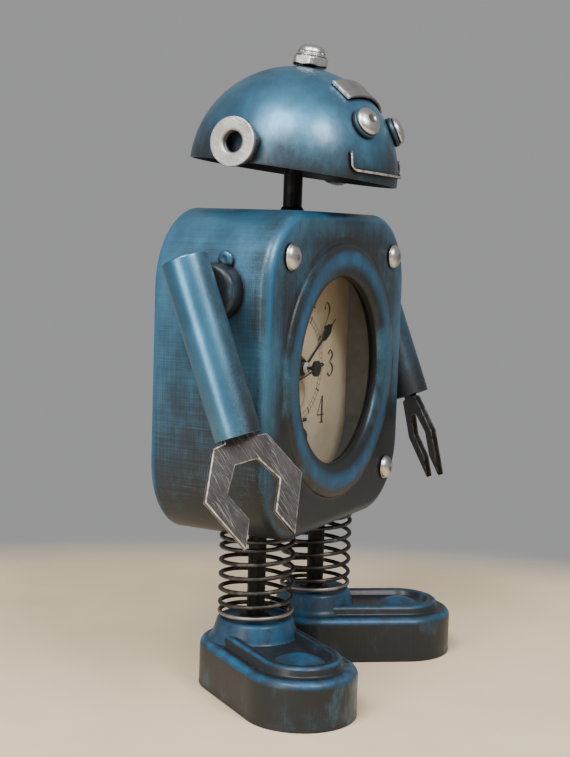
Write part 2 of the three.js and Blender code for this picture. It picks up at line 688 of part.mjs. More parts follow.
function headGroup() {
  const head = new THREE.Group();
  head.position.set(0, HEAD.y, HEAD.rim);
  head.rotation.set(radians(HEAD.tilt), radians(HEAD.lean), 0);
  head.add(
    part('head_dome', headDome(), LOOKS.paint),
    part('eyebrow', eyebrow(), LOOKS.bare),
    part('mouth', mouth(), LOOKS.bare),
    part('head_washer', headWasher(), LOOKS.dark),
    part('antenna_nut', antennaNut(), LOOKS.polished),
    part('antenna_cap', antennaCap(), LOOKS.polished));
  for (const [name, side] of [['right', -1], ['left', 1]]) {
    head.add(
      part(`eye_base_${name}`, onDome(eyeBase(), side * EYE.turn, EYE.lift), LOOKS.paint),
      part(`eye_rivet_${name}`, onDome(eyeRivet(), side * EYE.turn, EYE.lift), LOOKS.polished),
      part(`ear_nut_${name}`, earNut(side), LOOKS.paint),
      part(`ear_washer_${name}`, earWasher(side), LOOKS.bare));
  }
  return head;
}

// ---------------------------------------------------------------- arms

function shoulderBoss(side) {
  const near = BODY.width / 2 + GAP;
  const far = SHOULDER.x - ARM.radius - GAP;
  const { boss, round } = SHOULDER;
  const hole = SHOULDER.pin + GAP;
  const edge = arc(3, 0, 80, (a) => [
    boss - round + round * Math.cos(a), far - round + round * Math.sin(a)]);
  return turnedSideways([[hole, near], [boss, near], ...edge, [hole, far]], side, 24)
    .translate(0, SHOULDER.y, SHOULDER.z);
}

// Rivet pin: head swaged inside the body, shank through the boss to the tube's wall.
function shoulderPin(side) {
  const { pin, rivet } = SHOULDER;
  const head = BODY.width / 2 - SHEET - GAP - SHOULDER.x;
  const end = -ARM.radius - GAP;
  return turnedSideways([
    [0, head - 2.4], [pin, head - 2.4], [rivet, head - 1.4], [rivet, head], [pin, head],
    [pin, end], [0, end],
  ], side, 12);
}

function armTube() {
  const { radius, above, below, chamfer } = ARM;
  const inner = radius - SHEET;
  return turned([
    [0, above], [radius - chamfer, above], [radius, above - chamfer], [radius, -below],
    [inner, -below], [inner, above - SHEET], [0, above - SHEET],
  ], 28);
}

// Flat steel jaw: a hexagonal ring open at the bottom, with a tang that enters the tube.
function claw() {
  const { top, tip, half } = CLAW;
  const outer = [[JAW.crest, top], [half, 0], [JAW.tipHalf, tip]];
  const inner = [[JAW.mouth, JAW.mouthHeight], [JAW.half, 0.4], [JAW.topHalf, JAW.top]];
  const tang = [[TANG.half, TANG.top], [TANG.half, top + 0.8]];
  const right = [...tang, ...outer, ...inner];
  const left = right.map(([x, z]) => [-x, z]).reverse();
  const thick = CLAW.thickness / 2;
  return plate(new THREE.Shape(points([...right, ...left])), -thick, thick, 4, CLAW.chamfer);
}

function armGroup(name, side) {
  const arm = new THREE.Group();
  arm.position.set(side * SHOULDER.x, SHOULDER.y, SHOULDER.z);
  arm.rotation.x = -radians(SHOULDER.swing);
  const jaw = part(`claw_${name}`, claw(), LOOKS.bare);
  jaw.position.z = -CLAW.reach;
  jaw.rotation.z = side * radians(CLAW.turn);
  arm.add(
    part(`shoulder_pin_${name}`, shoulderPin(side), LOOKS.dark),
    part(`arm_tube_${name}`, armTube(), LOOKS.paint),
    jaw);
  return arm;
}

// ---------------------------------------------------------------- legs and feet

const legRod = () => post(LEG.rod, FOOT.seat - LEG.inset, BODY.bottom + LEG.inset);

class Coil extends THREE.Curve {
  getPoint(t) {
    const { outer, wire, turns, closing } = SPRING;
    const radius = outer - wire;
    const low = FOOT.seat + GAP + wire;
    const high = BODY.bottom - GAP - wire;
    const turn = t * turns;
    const open = (high - low - 2 * closing) / (turns - 2);
    const rise = THREE.MathUtils.clamp(turn, 0, 1) * closing
      + THREE.MathUtils.clamp(turn - 1, 0, turns - 2) * open
      + THREE.MathUtils.clamp(turn - turns + 1, 0, 1) * closing;
    const angle = 2 * Math.PI * turn;
    return new THREE.Vector3(radius * Math.cos(angle), radius * Math.sin(angle), low + rise);
  }
}

function legSpring() {
  const section = new THREE.Shape();
  section.absarc(0, 0, SPRING.wire, 0, 2 * Math.PI);
  return new THREE.ExtrudeGeometry(section, {
    extrudePath: new Coil(),
    steps: SPRING.turns * 10,
    curveSegments: 3,
    bevelEnabled: false,
  });
}

// Bell-shaped seat under the spring, rising out of the foot.
function springSeat() {
  const { radius, low, shoulder, waist, top } = BELL;
  const { seat } = FOOT;
  return turned([
    [0, low], [radius, low], [radius, shoulder], [waist, (shoulder + 2 * seat) / 3 - 0.2],
    [(waist + top) / 2, seat - 0.5], [top, seat], [0, seat],
  ], 20);
}

// Pressed shoe: wall, shelf, raised tier with a sunk floor, toe dome and spring seat.
function footShell() {
  const { wall, edge, tier, seat } = FOOT;
  const { inner, innerTop } = BELL;
  const bottom = FOOT.plate + GAP;
  const floor = tier - TIER.sunk;
  const ceiling = seat - SHEET - 0.4;
  const toeDome = new THREE.SphereGeometry(TOE.radius, 16, 10)
    .scale(1, 1, TOE.squash)
    .translate(0, FOOT.width - FOOT.length, floor - TOE.buried);
  const stepped = join(
    block(stadium(0), bottom, wall, edge), block(stadium(TIER.inset), bottom, tier, TIER.edge));
  const outside = join(
    cut(stepped, block(stadium(TIER.rim), floor, tier + 10, 0)), toeDome, springSeat());
  return cut(outside,
    block(stadium(SHEET), bottom - 5, wall - SHEET - 0.6, 0),
    turned([[0, 0], [inner, 0], [inner, seat - edge], [innerTop, ceiling], [0, ceiling]], 20),
    post(LEG.rod + GAP, seat - LEG.inset, seat + 5));
}

const footPlate = () => block(stadium(-0.4), 0, FOOT.plate, 0);

function legGroup(name, side) {
  const leg = new THREE.Group();
  leg.position.set(side * LEG.x, LEG.y, 0);
  leg.rotation.z = side * radians(LEG.toeOut);
  leg.add(
    part(`leg_rod_${name}`, legRod(), LOOKS.dark),
    part(`leg_spring_${name}`, legSpring(), LOOKS.dark),
    part(`foot_shell_${name}`, footShell(), LOOKS.paint),
    part(`foot_plate_${name}`, footPlate(), LOOKS.dark));
  return leg;
}

// ---------------------------------------------------------------- assembly

const robot = new THREE.Group();
robot.position.y = SETBACK;

robot.add(
  part('body_shell', bodyShell(), LOOKS.paint),
  part('rear_cover', rearCover(), LOOKS.paint),
  part('neck_rod', neckRod(), LOOKS.dark),
  part('neck_nut', neckNut(), LOOKS.dark),
  clockGroup(),
  headGroup());

[[-1, 1], [1, 1], [-1, -1], [1, -1]].forEach(([side, level], i) => {
  const stud = part(`front_stud_${i + 1}`, frontStud(), LOOKS.polished);
  const screw = part(`rear_cover_screw_${i + 1}`, coverScrew(), LOOKS.dark);
  for (const piece of [stud, screw]) {
    piece.position.set(side * STUD.x, 0, CENTRE + level * STUD.z);
    robot.add(piece);
  }
});

for (const [name, side] of [['right', -1], ['left', 1]]) {
  robot.add(
    part(`shoulder_boss_${name}`, shoulderBoss(side), LOOKS.paint),
    armGroup(name, side),
    legGroup(name, side));
}

export default robot;
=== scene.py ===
"""Robot desk clock: painted sheet metal with an antiqued blue finish, bare steel trim and a paper dial.

Lengths are millimetres in the row's frame (+Z up, the figure faces -Y) and become metres in build().
"""

import json
import math
import random

import bmesh
import bpy
from mathutils import Matrix, Vector


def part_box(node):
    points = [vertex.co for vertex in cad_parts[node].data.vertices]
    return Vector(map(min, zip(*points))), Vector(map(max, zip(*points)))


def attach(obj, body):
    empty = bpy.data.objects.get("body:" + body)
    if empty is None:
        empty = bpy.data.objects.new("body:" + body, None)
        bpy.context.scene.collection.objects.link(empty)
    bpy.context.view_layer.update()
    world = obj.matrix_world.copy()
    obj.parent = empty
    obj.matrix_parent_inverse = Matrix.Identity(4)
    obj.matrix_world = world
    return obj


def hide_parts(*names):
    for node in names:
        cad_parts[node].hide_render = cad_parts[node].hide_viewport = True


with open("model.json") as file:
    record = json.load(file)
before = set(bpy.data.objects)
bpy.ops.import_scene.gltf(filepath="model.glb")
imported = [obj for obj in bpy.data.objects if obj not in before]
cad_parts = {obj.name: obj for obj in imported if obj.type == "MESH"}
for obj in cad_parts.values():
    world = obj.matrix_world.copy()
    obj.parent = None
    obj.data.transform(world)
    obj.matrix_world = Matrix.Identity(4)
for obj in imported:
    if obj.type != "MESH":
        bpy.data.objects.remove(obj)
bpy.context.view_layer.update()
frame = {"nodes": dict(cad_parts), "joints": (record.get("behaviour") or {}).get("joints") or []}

# ---------------- driving sizes, from the frame

METRE = 0.001
SIDES = {"right": -1, "left": 1}


def corners(node):
    """Lowest and highest corner of a CAD node, in millimetres."""
    return [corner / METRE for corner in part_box(node)]


def middle(node):
    low, high = corners(node)
    return (low + high) / 2


def joint(name):
    """Place of a joint, in millimetres."""
    return Vector(next(j["pos_m"] for j in frame["joints"] if j["name"] == name)) / METRE


SHELL_LOW, SHELL_HIGH = corners("body_shell")
WIDTH = SHELL_HIGH.x - SHELL_LOW.x
HEIGHT = SHELL_HIGH.z - SHELL_LOW.z
FRONT, BACK = SHELL_LOW.y, SHELL_HIGH.y
BOTTOM, TOP = SHELL_LOW.z, SHELL_HIGH.z
CLOCK = joint("minute_turn")
SHEET = 1.2
CORNER = 35
EDGE = 5

BEZEL = {"outer": 59.8, "cove": 62.4, "crest": 52, "opening": 43.7, "height": 2.4, "lip": -1.4,
         "reach": 2.9}
GASKET = {"bore": 44, "shelf": 44.6, "sleeve": 45.2, "skirt": 46.4, "seat": 47.1, "outer": 48.6,
          "near": 3.7, "far": 5.1, "lip": 0.5}
STUD = {"radius": 5.9, "height": 4.2, "pillar": 3.2, "neck": 1.8}
DIAL_FACE = corners("clock_dial")[0].y
HEAD_RADIUS = 49
HEAD_LEAN = {"forward": 6.35, "sideways": 2.46}
EYE = {"turn": 22, "lift": 30.3, "radius": 7, "depth": 2, "rivet": 6.5, "bulge": 3.1}
BROW = {"lift": 55.6, "turn": 5.3, "roll": 3.65, "radius": 49.35, "thickness": 1.5, "width": 11.6,
        "half_length": 20.3}
MOUTH = {"half_width": 26.4, "low": 4.4, "top": 11.8, "corner": 2.6, "lean": 1.62, "thickness": 1.2,
         "proud": 1.9}
CROWN_NUT = {"radius": 9.2, "bore": 3.3, "low": 49.4, "high": 53.8}
CAP = {"foot": 7.3, "low": 53.9, "radius": 6.6, "shoulder": 59.18, "top": 59.26}
EAR = {"y": 3.5, "z": 8.6, "skew": 0.8, "washer": 10.9, "hole": 5.2, "thickness": 2, "stand": 5.2,
       "nut": 10.9, "nut_turn": 14}
ARM = {"radius": 10, "above": 14.7, "below": 62.2, "swing": 21.2}
BOSS = {"radius": 12.3, "round": 2.6, "gap": 0.3}
CLAW = {"reach": 83.8, "turn": 38, "thickness": 3.2}
TOE_OUT = 35
FOOT = {"length": 96, "width": 51.5, "wall": 21.9, "edge": 3.6, "tier": 26.2, "seat": 31.8, "plate": 1.2}
COLLAR = {"foot": 24.1, "waist": 20.4, "top": 17.4}
TOE_DOME = 12.5
SPRING = {"outer": 17.75, "wire": 1.05, "turns": 7, "closing": 2.5}
WEAR_REACH = 1.6

# ---------------- mesh helpers


def on_circle(angle, radius=1.0):
    return radius * math.cos(angle), radius * math.sin(angle)


def rounded(corners_in, steps, spread=WEAR_REACH, closed=False):
    """Profile through corners (a, b, radius, wear); each corner becomes an arc that carries its wear.

    spread is how far past the arc the wear has faded to nothing."""
    profile = []
    count = len(corners_in)
    for i, (a, b, radius, wear) in enumerate(corners_in):
        here = Vector((a, b))
        if radius == 0 or (not closed and i in (0, count - 1)):
            profile.append((a, b, wear))
            continue
        before = Vector(corners_in[i - 1][:2]) - here
        after = Vector(corners_in[(i + 1) % count][:2]) - here
        way_in, way_out = before.normalized(), after.normalized()
        turn = math.pi - before.angle(after)
        reach = radius * math.tan(turn / 2)
        if before.length / 2 > reach + 0.05:
            profile.append((*(here + way_in * min(reach + spread, before.length / 2)), 0))
        centre = here + (way_in + way_out).normalized() * (radius / math.cos(turn / 2))
        first = here + way_in * reach - centre
        way = 1 if before.x * after.y - before.y * after.x < 0 else -1
        for k in range(steps + 1):
            spoke = first.copy()
            spoke.rotate(Matrix.Rotation(way * turn * k / steps, 2))
            profile.append((*(centre + spoke), wear * (1 - abs(2 * k / steps - 1)) ** 0.7))
        if after.length / 2 > reach + 0.05:
            profile.append((*(here + way_out * min(reach + spread, after.length / 2)), 0))
    return profile


def loft(rings, loop=False, caps=True):
    """(vertices, faces, wear) of a skin over rings of equally many points."""
    size = len(rings[0][0])
    vertices = [Vector(p) for ring, _ in rings for p in ring]
    wear = [value for ring, value in rings for _ in ring]
    faces = []
    spans = len(rings) if loop else len(rings) - 1
    for r in range(spans):
        low, high = r * size, ((r + 1) % len(rings)) * size
        for k in range(size):
            n = (k + 1) % size
            faces.append((low + k, low + n, high + n, high + k))
    if caps and not loop:
        faces.append(tuple(reversed(range(size))))
        faces.append(tuple(range(len(vertices) - size, len(vertices))))
    return vertices, faces, wear


def spun(profile, segments, lump=None, loop=False, caps=True):
    """Skin turned round +Z from a profile of (radius, height, wear). lump(angle) adds to the radius."""
    angles = [math.tau * k / segments for k in range(segments)]
    rings = []
    for radius, height, wear in profile:
        radii = [radius + lump(a) for a in angles] if lump and radius > 0 else [radius] * segments
        rings.append(([(*on_circle(a, r), height) for a, r in zip(angles, radii)], wear))
    return loft(rings, loop, caps)


def merged(*shapes):
    vertices, faces, wear = [], [], []
    for some_vertices, some_faces, some_wear in shapes:
        base = len(vertices)
        vertices += some_vertices
        wear += some_wear
        faces += [tuple(base + i for i in face) for face in some_faces]
    return vertices, faces, wear


def moved(shape, matrix):
    return [matrix @ v for v in shape[0]], shape[1], shape[2]


def new_object(name, data):
    thing = bpy.data.objects.new(name, data)
    bpy.context.scene.collection.objects.link(thing)
    return thing


def build(name, shape, place, body, material, replaced=()):
    """A finished piece: its mesh in metres, normals out, riding on a CAD body."""
    vertices, faces, wear = shape
    mesh = bpy.data.meshes.new(name)
    mesh.from_pydata([(place @ v) * METRE for v in vertices], [], faces)
    layer = mesh.attributes.new("wear", "FLOAT", "POINT")
    layer.data.foreach_set("value", wear)
    work = bmesh.new()
    work.from_mesh(mesh)
    bmesh.ops.remove_doubles(work, verts=work.verts, dist=1e-6)
    bmesh.ops.recalc_face_normals(work, faces=work.faces)
    for face in work.faces:
        face.smooth = True
    work.to_mesh(mesh)
    work.free()
    piece = new_object(name, mesh)
    piece.data.materials.append(material)
    bend = piece.modifiers.new("face_weights", "WEIGHTED_NORMAL")
    bend.keep_sharp = True
    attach(piece, body)
    if replaced:
        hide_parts(*replaced)
    return piece


def at(x, y, z):
    return Matrix.Translation((x, y, z))


def turned(axis, degrees):
    return Matrix.Rotation(math.radians(degrees), 4, axis)


FORWARD = turned("X", 90)      # local +Z to the front, local +Y up


def sideways(side):
    """Local +Z to that side of the figure."""
    return turned("Y", 90 * side)


def offset(outline, distance):
    """Outline of (x, z) points moved inward by a distance, with mitred corners."""
    area = sum(a[0] * b[1] - b[0] * a[1] for a, b in zip(outline, outline[1:] + outline[:1]))
    way = 1 if area > 0 else -1
    result = []
    for i, here in enumerate(outline):
        p, q, r = Vector(outline[i - 1]), Vector(here), Vector(outline[(i + 1) % len(outline)])
        u, v = (q - p).normalized(), (r - q).normalized()
        normal = Vector((-u.y - v.y, u.x + v.x)) * way
        normal.normalize()
        share = max(0.3, normal.dot(Vector((-u.y, u.x)) * way))
        result.append(tuple(q + normal * distance / share))
    return result


def plate(outline, front, back, worn, bevel=0.35):
    """Flat plate with bevelled edges, drawn in X-Z between two depths; its edges carry wear."""
    step = (back - front) * 0.28
    levels = [(worn, front, 0), (bevel, front, 0.7), (0, front + bevel, 1), (0, front + step, 0.1),
              (0, back - step, 0.1), (0, back - bevel, 1), (bevel, back, 0.7), (worn, back, 0)]
    return loft([([(x, depth, z) for x, z in offset(outline, inset)], wear) for inset, depth, wear in levels])


def sweep(path, section):
    """Skin along a path of (point, across, up) with a closed section of (a, b) pairs."""
    return loft([([point + across * a + up * b for a, b in section], 0) for point, across, up in path])


# ---------------- outlines


def rounded_square(half_x, half_z, radius):
    per_corner, per_side = 18, 16
    arcs = []
    for quarter, (sign_x, sign_z) in enumerate(((1, 1), (-1, 1), (-1, -1), (1, -1))):
        centre = Vector((sign_x * (half_x - radius), sign_z * (half_z - radius)))
        angles = [math.pi / 2 * (quarter + k / per_corner) for k in range(per_corner + 1)]
        arcs.append([centre + Vector(on_circle(a, radius)) for a in angles])
    points = []
    for arc, following in zip(arcs, arcs[1:] + arcs[:1]):
        points += arc + [arc[-1].lerp(following[0], k / per_side) for k in range(1, per_side)]
    return points


def stadium(inset):
    """Foot outline round the leg axis, the toe towards -Y."""
    per_arc, per_side = 30, 22
    radius = max(FOOT["width"] / 2 - inset, 0.01)
    toe = FOOT["width"] - FOOT["length"]
    heel_arc = [on_circle(math.pi * k / per_arc, radius) for k in range(per_arc + 1)]
    toe_arc = [(-x, toe - y) for x, y in heel_arc]
    near = [(-radius, toe * k / per_side) for k in range(1, per_side)]
    far = [(radius, toe * (1 - k / per_side)) for k in range(1, per_side)]
    return heel_arc + near + toe_arc + far


# ---------------- material graph


class Graph:
    """One node material: add() makes a node, feeds its inputs and gives back an output socket."""

    def __init__(self, name):
        self.material = bpy.data.materials.new(name)
        self.material.use_nodes = True
        self.tree = self.material.node_tree
        self.shader = self.tree.nodes["Principled BSDF"]
        self.place = self.add("ShaderNodeTexCoord", output="Object")

    def feed(self, socket, value):
        if isinstance(value, bpy.types.NodeSocket):
            self.tree.links.new(value, socket)
        else:
            socket.default_value = value

    def add(self, kind, output=0, inputs=None, **settings):
        node = self.tree.nodes.new(kind)
        for key, value in settings.items():
            setattr(node, key, value)
        for key, value in (inputs or {}).items():
            self.feed(node.inputs[key], value)
        return node.outputs[output]

    def surface(self, **values):
        """Sets the shader's sockets, with _ for a space in their names, and gives back the material."""
        for key, value in values.items():
            self.feed(self.shader.inputs[key.replace("_", " ")], value)
        return self.material

    def noise(self, size, detail=3.0, roughness=0.55, shift=0.0, place=None):
        """Noise from 0 to 1 whose features are size = (x, y, z) millimetres."""
        scale = [1 / (s * METRE) for s in size]
        place = self.add("ShaderNodeMapping", inputs={
            "Vector": place or self.place, "Scale": scale, "Location": (shift, shift * 0.7, shift * 1.3)})
        return self.add("ShaderNodeTexNoise", inputs={
            "Vector": place, "Scale": 1.0, "Detail": detail, "Roughness": roughness})

    def span(self, value, low, high, to_low=0.0, to_high=1.0, smooth=False):
        """Maps low..high to to_low..to_high, clamped."""
        return self.add("ShaderNodeMapRange", inputs={
            "Value": value, "From Min": low, "From Max": high, "To Min": to_low, "To Max": to_high},
            interpolation_type="SMOOTHSTEP" if smooth else "LINEAR")

    def calc(self, operation, a, b):
        return self.add("ShaderNodeMath", inputs={0: a, 1: b}, operation=operation)

    def times(self, a, b):
        return self.calc("MULTIPLY", a, b)

    def total(self, *terms):
        result = terms[0]
        for term in terms[1:]:
            result = self.calc("ADD", result, term)
        return result

    def wear(self):
        """The mesh's own marks: 1 where it is rubbed bright, below 0 where the paint is darker; some marks
        are painted light: painted shade on the tube sides, the bezel's inner wall, the body's roll and panel,
        a painted highlight on the roll's top, a painted dark reflection on polished crowns.
        """
        return self.add("ShaderNodeAttribute", output="Fac", attribute_name="wear")

    def mix(self, share, a, b):
        node = self.tree.nodes.new("ShaderNodeMix")
        node.data_type = "RGBA"
        self.feed(node.inputs[0], share)
        for socket, value in ((node.inputs[6], a), (node.inputs[7], b)):
            self.feed(socket, value if isinstance(value, bpy.types.NodeSocket) else (*value, 1))
        return node.outputs[2]

    def hollows(self, distance):
        """Ambient occlusion: 1 in the open, falling to 0 in corners and under neighbours, where shade falls;
        the finishes use it for painted shade.
        """
        return self.add("ShaderNodeAmbientOcclusion", output="AO", inputs={
            "Distance": distance * METRE}, samples=8)

    def bump(self, height, depth, strength):
        return self.add("ShaderNodeBump", inputs={
            "Height": height, "Distance": depth * METRE, "Strength": strength})


BLUE_DEEP = (0.014, 0.1, 0.185)
BLUE_SOFT = (0.065, 0.235, 0.375)
BLUE_BRIGHT = (0.014, 0.12, 0.25)
# The near-black of the wash, also used for painted shade.
WASH_AND_SHADE = (0.013, 0.015, 0.017)


def antique_paint(name, wash, worn=1.0, fade=None, gloss=0.5, brush=1.0, rough=0.3):
    """Blue metallic paint under a rubbed dark wash, with fine brush strokes and bright worn edges; its dark
    also holds painted shade.

    fade is (height where it is darkest, height where the darkening stops) in millimetres: the paint is darker
    towards the bottom."""
    g = Graph(name)
    fine = g.noise((0.35, 0.35, 40), detail=4)
    cross = g.noise((0.35, 40, 0.35), shift=3)
    cloud = g.noise((34, 34, 48), detail=4, roughness=0.6, shift=7)
    patch = g.noise((9, 9, 14), detail=5, roughness=0.65, shift=11)
    edge = g.wear()
    terms = [
        g.span(cloud, 0.3, 0.7, 0, 0.8 * wash),
        g.span(patch, 0.35, 0.75, 0, 0.5 * wash),
        g.span(fine, 0.3, 0.75, 0, 0.45 * brush),
        g.span(cross, 0.35, 0.75, 0, 0.35 * brush),
        # Darker in hollows and under neighbouring parts: partly wash pooled there, partly painted shade.
        g.span(g.hollows(3.5), 0.3, 0.8, 0.8, 0.0),
        # Marks below 0 on the mesh darken the paint: wash in places, painted shade in others.
        g.span(edge, -1.0, 0.0, 1.0, 0.0),
        wash - 0.32 - 0.3 * brush]
    if fade:
        height = g.add("ShaderNodeSeparateXYZ", output="Z", inputs={"Vector": g.place})
        terms.append(g.span(height, fade[1] * METRE, fade[0] * METRE, 0.0, 0.6))
    dark = g.span(g.total(*terms), 0.0, 1.0, smooth=True)
    chips = g.total(
        g.span(patch, 0.38, 0.62, 0, 0.6),
        g.span(cloud, 0.35, 0.65, 0, 0.6),
        g.span(fine, 0.3, 0.7, 0, 0.2),
        -0.1)
    bright = g.times(g.span(g.times(edge, chips), 0.05, 0.85), worn)
    blue = g.mix(g.span(cloud, 0.35, 0.7), BLUE_SOFT, BLUE_DEEP)
    base = g.mix(dark, blue, WASH_AND_SHADE)
    colour = g.mix(bright, base, BLUE_BRIGHT)
    speck = g.span(g.noise((0.9, 0.9, 0.9), detail=2, shift=19), 0.8, 0.84)
    return g.surface(
        Base_Color=g.mix(g.times(speck, 0.5), colour, (0.22, 0.27, 0.3)),
        Metallic=g.span(g.total(dark, g.times(bright, 0.5)), 0, 1, 0.85, 0.15),
        Specular_IOR_Level=g.span(dark, 0, 1, 0.5, 0.3),
        Roughness=g.total(rough, g.times(fine, 0.14), g.times(dark, 0.14)),
        Coat_Weight=g.span(dark, 0, 1, gloss, gloss * 0.4),
        Coat_Roughness=g.span(fine, 0.3, 0.7, 0.18, 0.3),
        Normal=g.bump(g.total(fine, g.times(cross, 0.6), g.times(patch, 1.5)), 0.05, 0.5))


def bare_steel(name, base, bright, rough, slant=25, lines_on=0.5):
    """Hand-filed steel: crossing diagonal scratches, waxed dark patches and bright edges."""
    g = Graph(name)

    def scratches(degrees, size, shift):
        tilt = (0, math.radians(degrees), math.radians(degrees * 0.5))
        place = g.add("ShaderNodeMapping", inputs={"Vector": g.place, "Rotation": tilt})
        return g.noise(size, shift=shift, place=place)

    first = scratches(slant, (0.28, 10, 22), 1)
    second = scratches(slant * 0.4, (0.22, 7, 14), 5)
    third = scratches(slant * 1.9, (0.24, 5, 9), 8)
    cloud = g.noise((7, 7, 9), detail=4, shift=3)
    lines = g.total(g.span(first, 0.56, 0.7), g.span(second, 0.6, 0.72), g.span(third, 0.62, 0.72))
    edge = g.wear()
    worn = g.times(edge, g.span(g.noise((1.6, 1.6, 4), detail=4, shift=13), 0.35, 0.6, 0.3, 1.0))
    rub = g.total(g.times(lines, lines_on), worn)
    dulled = g.mix(g.span(cloud, 0.35, 0.7), base, tuple(c * 0.62 for c in base))
    shade = g.mix(g.span(g.hollows(5), 0.35, 0.9, 1.0, 0.0), dulled, (0.03, 0.027, 0.025))
    return g.surface(
        Base_Color=g.mix(g.span(rub, 0.1, 1.0), shade, bright),
        Metallic=1.0,
        Roughness=g.total(rough, g.times(cloud, 0.18), g.times(lines, -0.08)),
        Normal=g.bump(g.total(lines, g.times(cloud, 1.2)), 0.06, 0.7))


def polished_steel(name):
    """Polished silver caps: a painted dark reflection on the flat of each crown, and darker round their feet,
    partly stain and partly painted shade.
    """
    g = Graph(name)
    cloud = g.noise((2.6, 2.6, 2.6), detail=4, shift=2)
    hair = g.noise((0.25, 0.25, 6), shift=6)
    # Darker round the feet: partly stain, partly painted shade where the caps meet their seats.
    stain_and_shade = g.span(g.hollows(4), 0.3, 0.85, 1.0, 0.0)
    # Painted reflection: the flat on the crown, marked 1 on the mesh, is darkened as if it mirrored a dark
    # surround.
    flat = g.wear()
    dull = g.total(
        stain_and_shade,
        g.span(flat, 0.75, 1.0, 0, 0.45),
        g.span(cloud, 0.45, 0.75, 0, 0.35))
    return g.surface(
        Base_Color=g.mix(g.span(dull, 0, 1), (0.62, 0.6, 0.57), (0.07, 0.055, 0.04)),
        Metallic=1.0,
        Roughness=g.total(0.22, g.times(cloud, 0.16), g.times(hair, 0.06)),
        Normal=g.bump(g.total(hair, g.times(cloud, 3)), 0.05, 0.6))


def dark_steel(name, base=(0.035, 0.032, 0.03), shine=(0.34, 0.31, 0.28)):
    """Blackened steel, rubbed bright along the places that are touched."""
    g = Graph(name)
    cloud = g.noise((5, 5, 5), detail=5, roughness=0.65, shift=4)
    hair = g.noise((0.5, 0.5, 0.5), detail=2, shift=9)
    edge = g.wear()
    rub = g.total(g.times(edge, 0.8), g.span(cloud, 0.5, 0.75, 0, 0.35))
    return g.surface(
        Base_Color=g.mix(g.span(rub, 0.05, 0.9), base, shine),
        Metallic=0.85,
        Roughness=g.total(0.34, g.times(cloud, 0.22)),
        Normal=g.bump(g.total(hair, cloud), 0.04, 0.6))


def aged_paper(name):
    """Cream dial card: warm mottling, small foxing spots and paper fibre."""
    g = Graph(name)
    cloud = g.noise((26, 26, 26), detail=5, roughness=0.6)
    spots = g.span(g.noise((2.2, 2.2, 2.2), shift=5), 0.68, 0.78)
    fibre = g.noise((0.4, 0.4, 1.2), shift=8)
    paper = g.mix(g.span(cloud, 0.3, 0.7), (0.6, 0.52, 0.36), (0.46, 0.37, 0.23))
    return g.surface(
        Base_Color=g.mix(g.times(spots, 0.35), paper, (0.25, 0.16, 0.08)),
        Roughness=g.total(0.66, g.times(fibre, 0.2)),
        Normal=g.bump(fibre, 0.03, 0.5))


def plain(name, colour, rough, metal=0.0, grain=0.6, variation=0.25):
    """Moulded or plated surface: slight mottling in colour and gloss, and a fine grain."""
    g = Graph(name)
    cloud = g.noise((6, 6, 6), detail=4, shift=2)
    fine = g.noise((grain, grain, grain), shift=6)
    return g.surface(
        Base_Color=g.mix(g.span(cloud, 0.3, 0.7), colour, tuple(c * (1 - variation) for c in colour)),
        Metallic=metal,
        Roughness=g.total(rough, g.times(fine, 0.12), g.times(cloud, 0.08)),
        Normal=g.bump(fine, 0.03, 0.6))


def clear_glass(name):
    g = Graph(name)
    smear = g.noise((14, 14, 30))
    return g.surface(
        Base_Color=(0.03, 0.03, 0.03, 1),
        Alpha=0.07,
        IOR=1.5,
        Roughness=g.span(smear, 0.4, 0.7, 0.04, 0.1))


def battery_jacket(name):
    """Printed wrapper: a copper-coloured end band and a dark body, with bare steel ends."""
    g = Graph(name)
    low, high = corners("battery")
    along = g.add("ShaderNodeSeparateXYZ", output="X", inputs={"Vector": g.place})
    length = high.x - low.x
    band = g.span(along, (high.x - length * 0.28) * METRE, (high.x - length * 0.27) * METRE)
    steel = g.span(along, (high.x - 3) * METRE, (high.x - 2.8) * METRE)
    scuff = g.noise((3, 1, 1), detail=4)
    jacket = g.mix(band, (0.03, 0.032, 0.035), (0.48, 0.22, 0.08))
    return g.surface(
        Base_Color=g.mix(steel, jacket, (0.6, 0.6, 0.6)),
        Metallic=0.7,
        Roughness=g.span(scuff, 0.3, 0.7, 0.24, 0.4),
        Normal=g.bump(scuff, 0.02, 0.5))


PAINT_BODY = antique_paint("antique_blue_body", wash=0.49, worn=0.85, fade=(70, 150), brush=0.75)
PAINT_BEZEL = antique_paint("antique_blue_bezel", wash=0.76, worn=0.7, brush=0.6)
PAINT_BOSS = antique_paint("antique_blue_boss", wash=0.85, worn=0.2)
PAINT_DOME = antique_paint("antique_blue_dome", wash=0.47, brush=0.22)
# A near-black copy of the dome paint for the dome's inside: painted shade.
PAINT_SHADE_INSIDE = antique_paint("painted_shade_inside", wash=1.2, worn=0.1, gloss=0.1)
PAINT_ARM = antique_paint("antique_blue_arm", wash=0.25, fade=(85, 165), brush=0.6, gloss=0.8, rough=0.27)
PAINT_FOOT = antique_paint("antique_blue_foot", wash=0.87, worn=0.8, brush=0.45)
PAINT_SOLE = antique_paint("antique_sole", wash=0.95, worn=0.3, gloss=0.3)
STEEL_BARE = bare_steel("filed_steel", (0.085, 0.078, 0.076), (0.62, 0.61, 0.6), rough=0.4, lines_on=0.6)
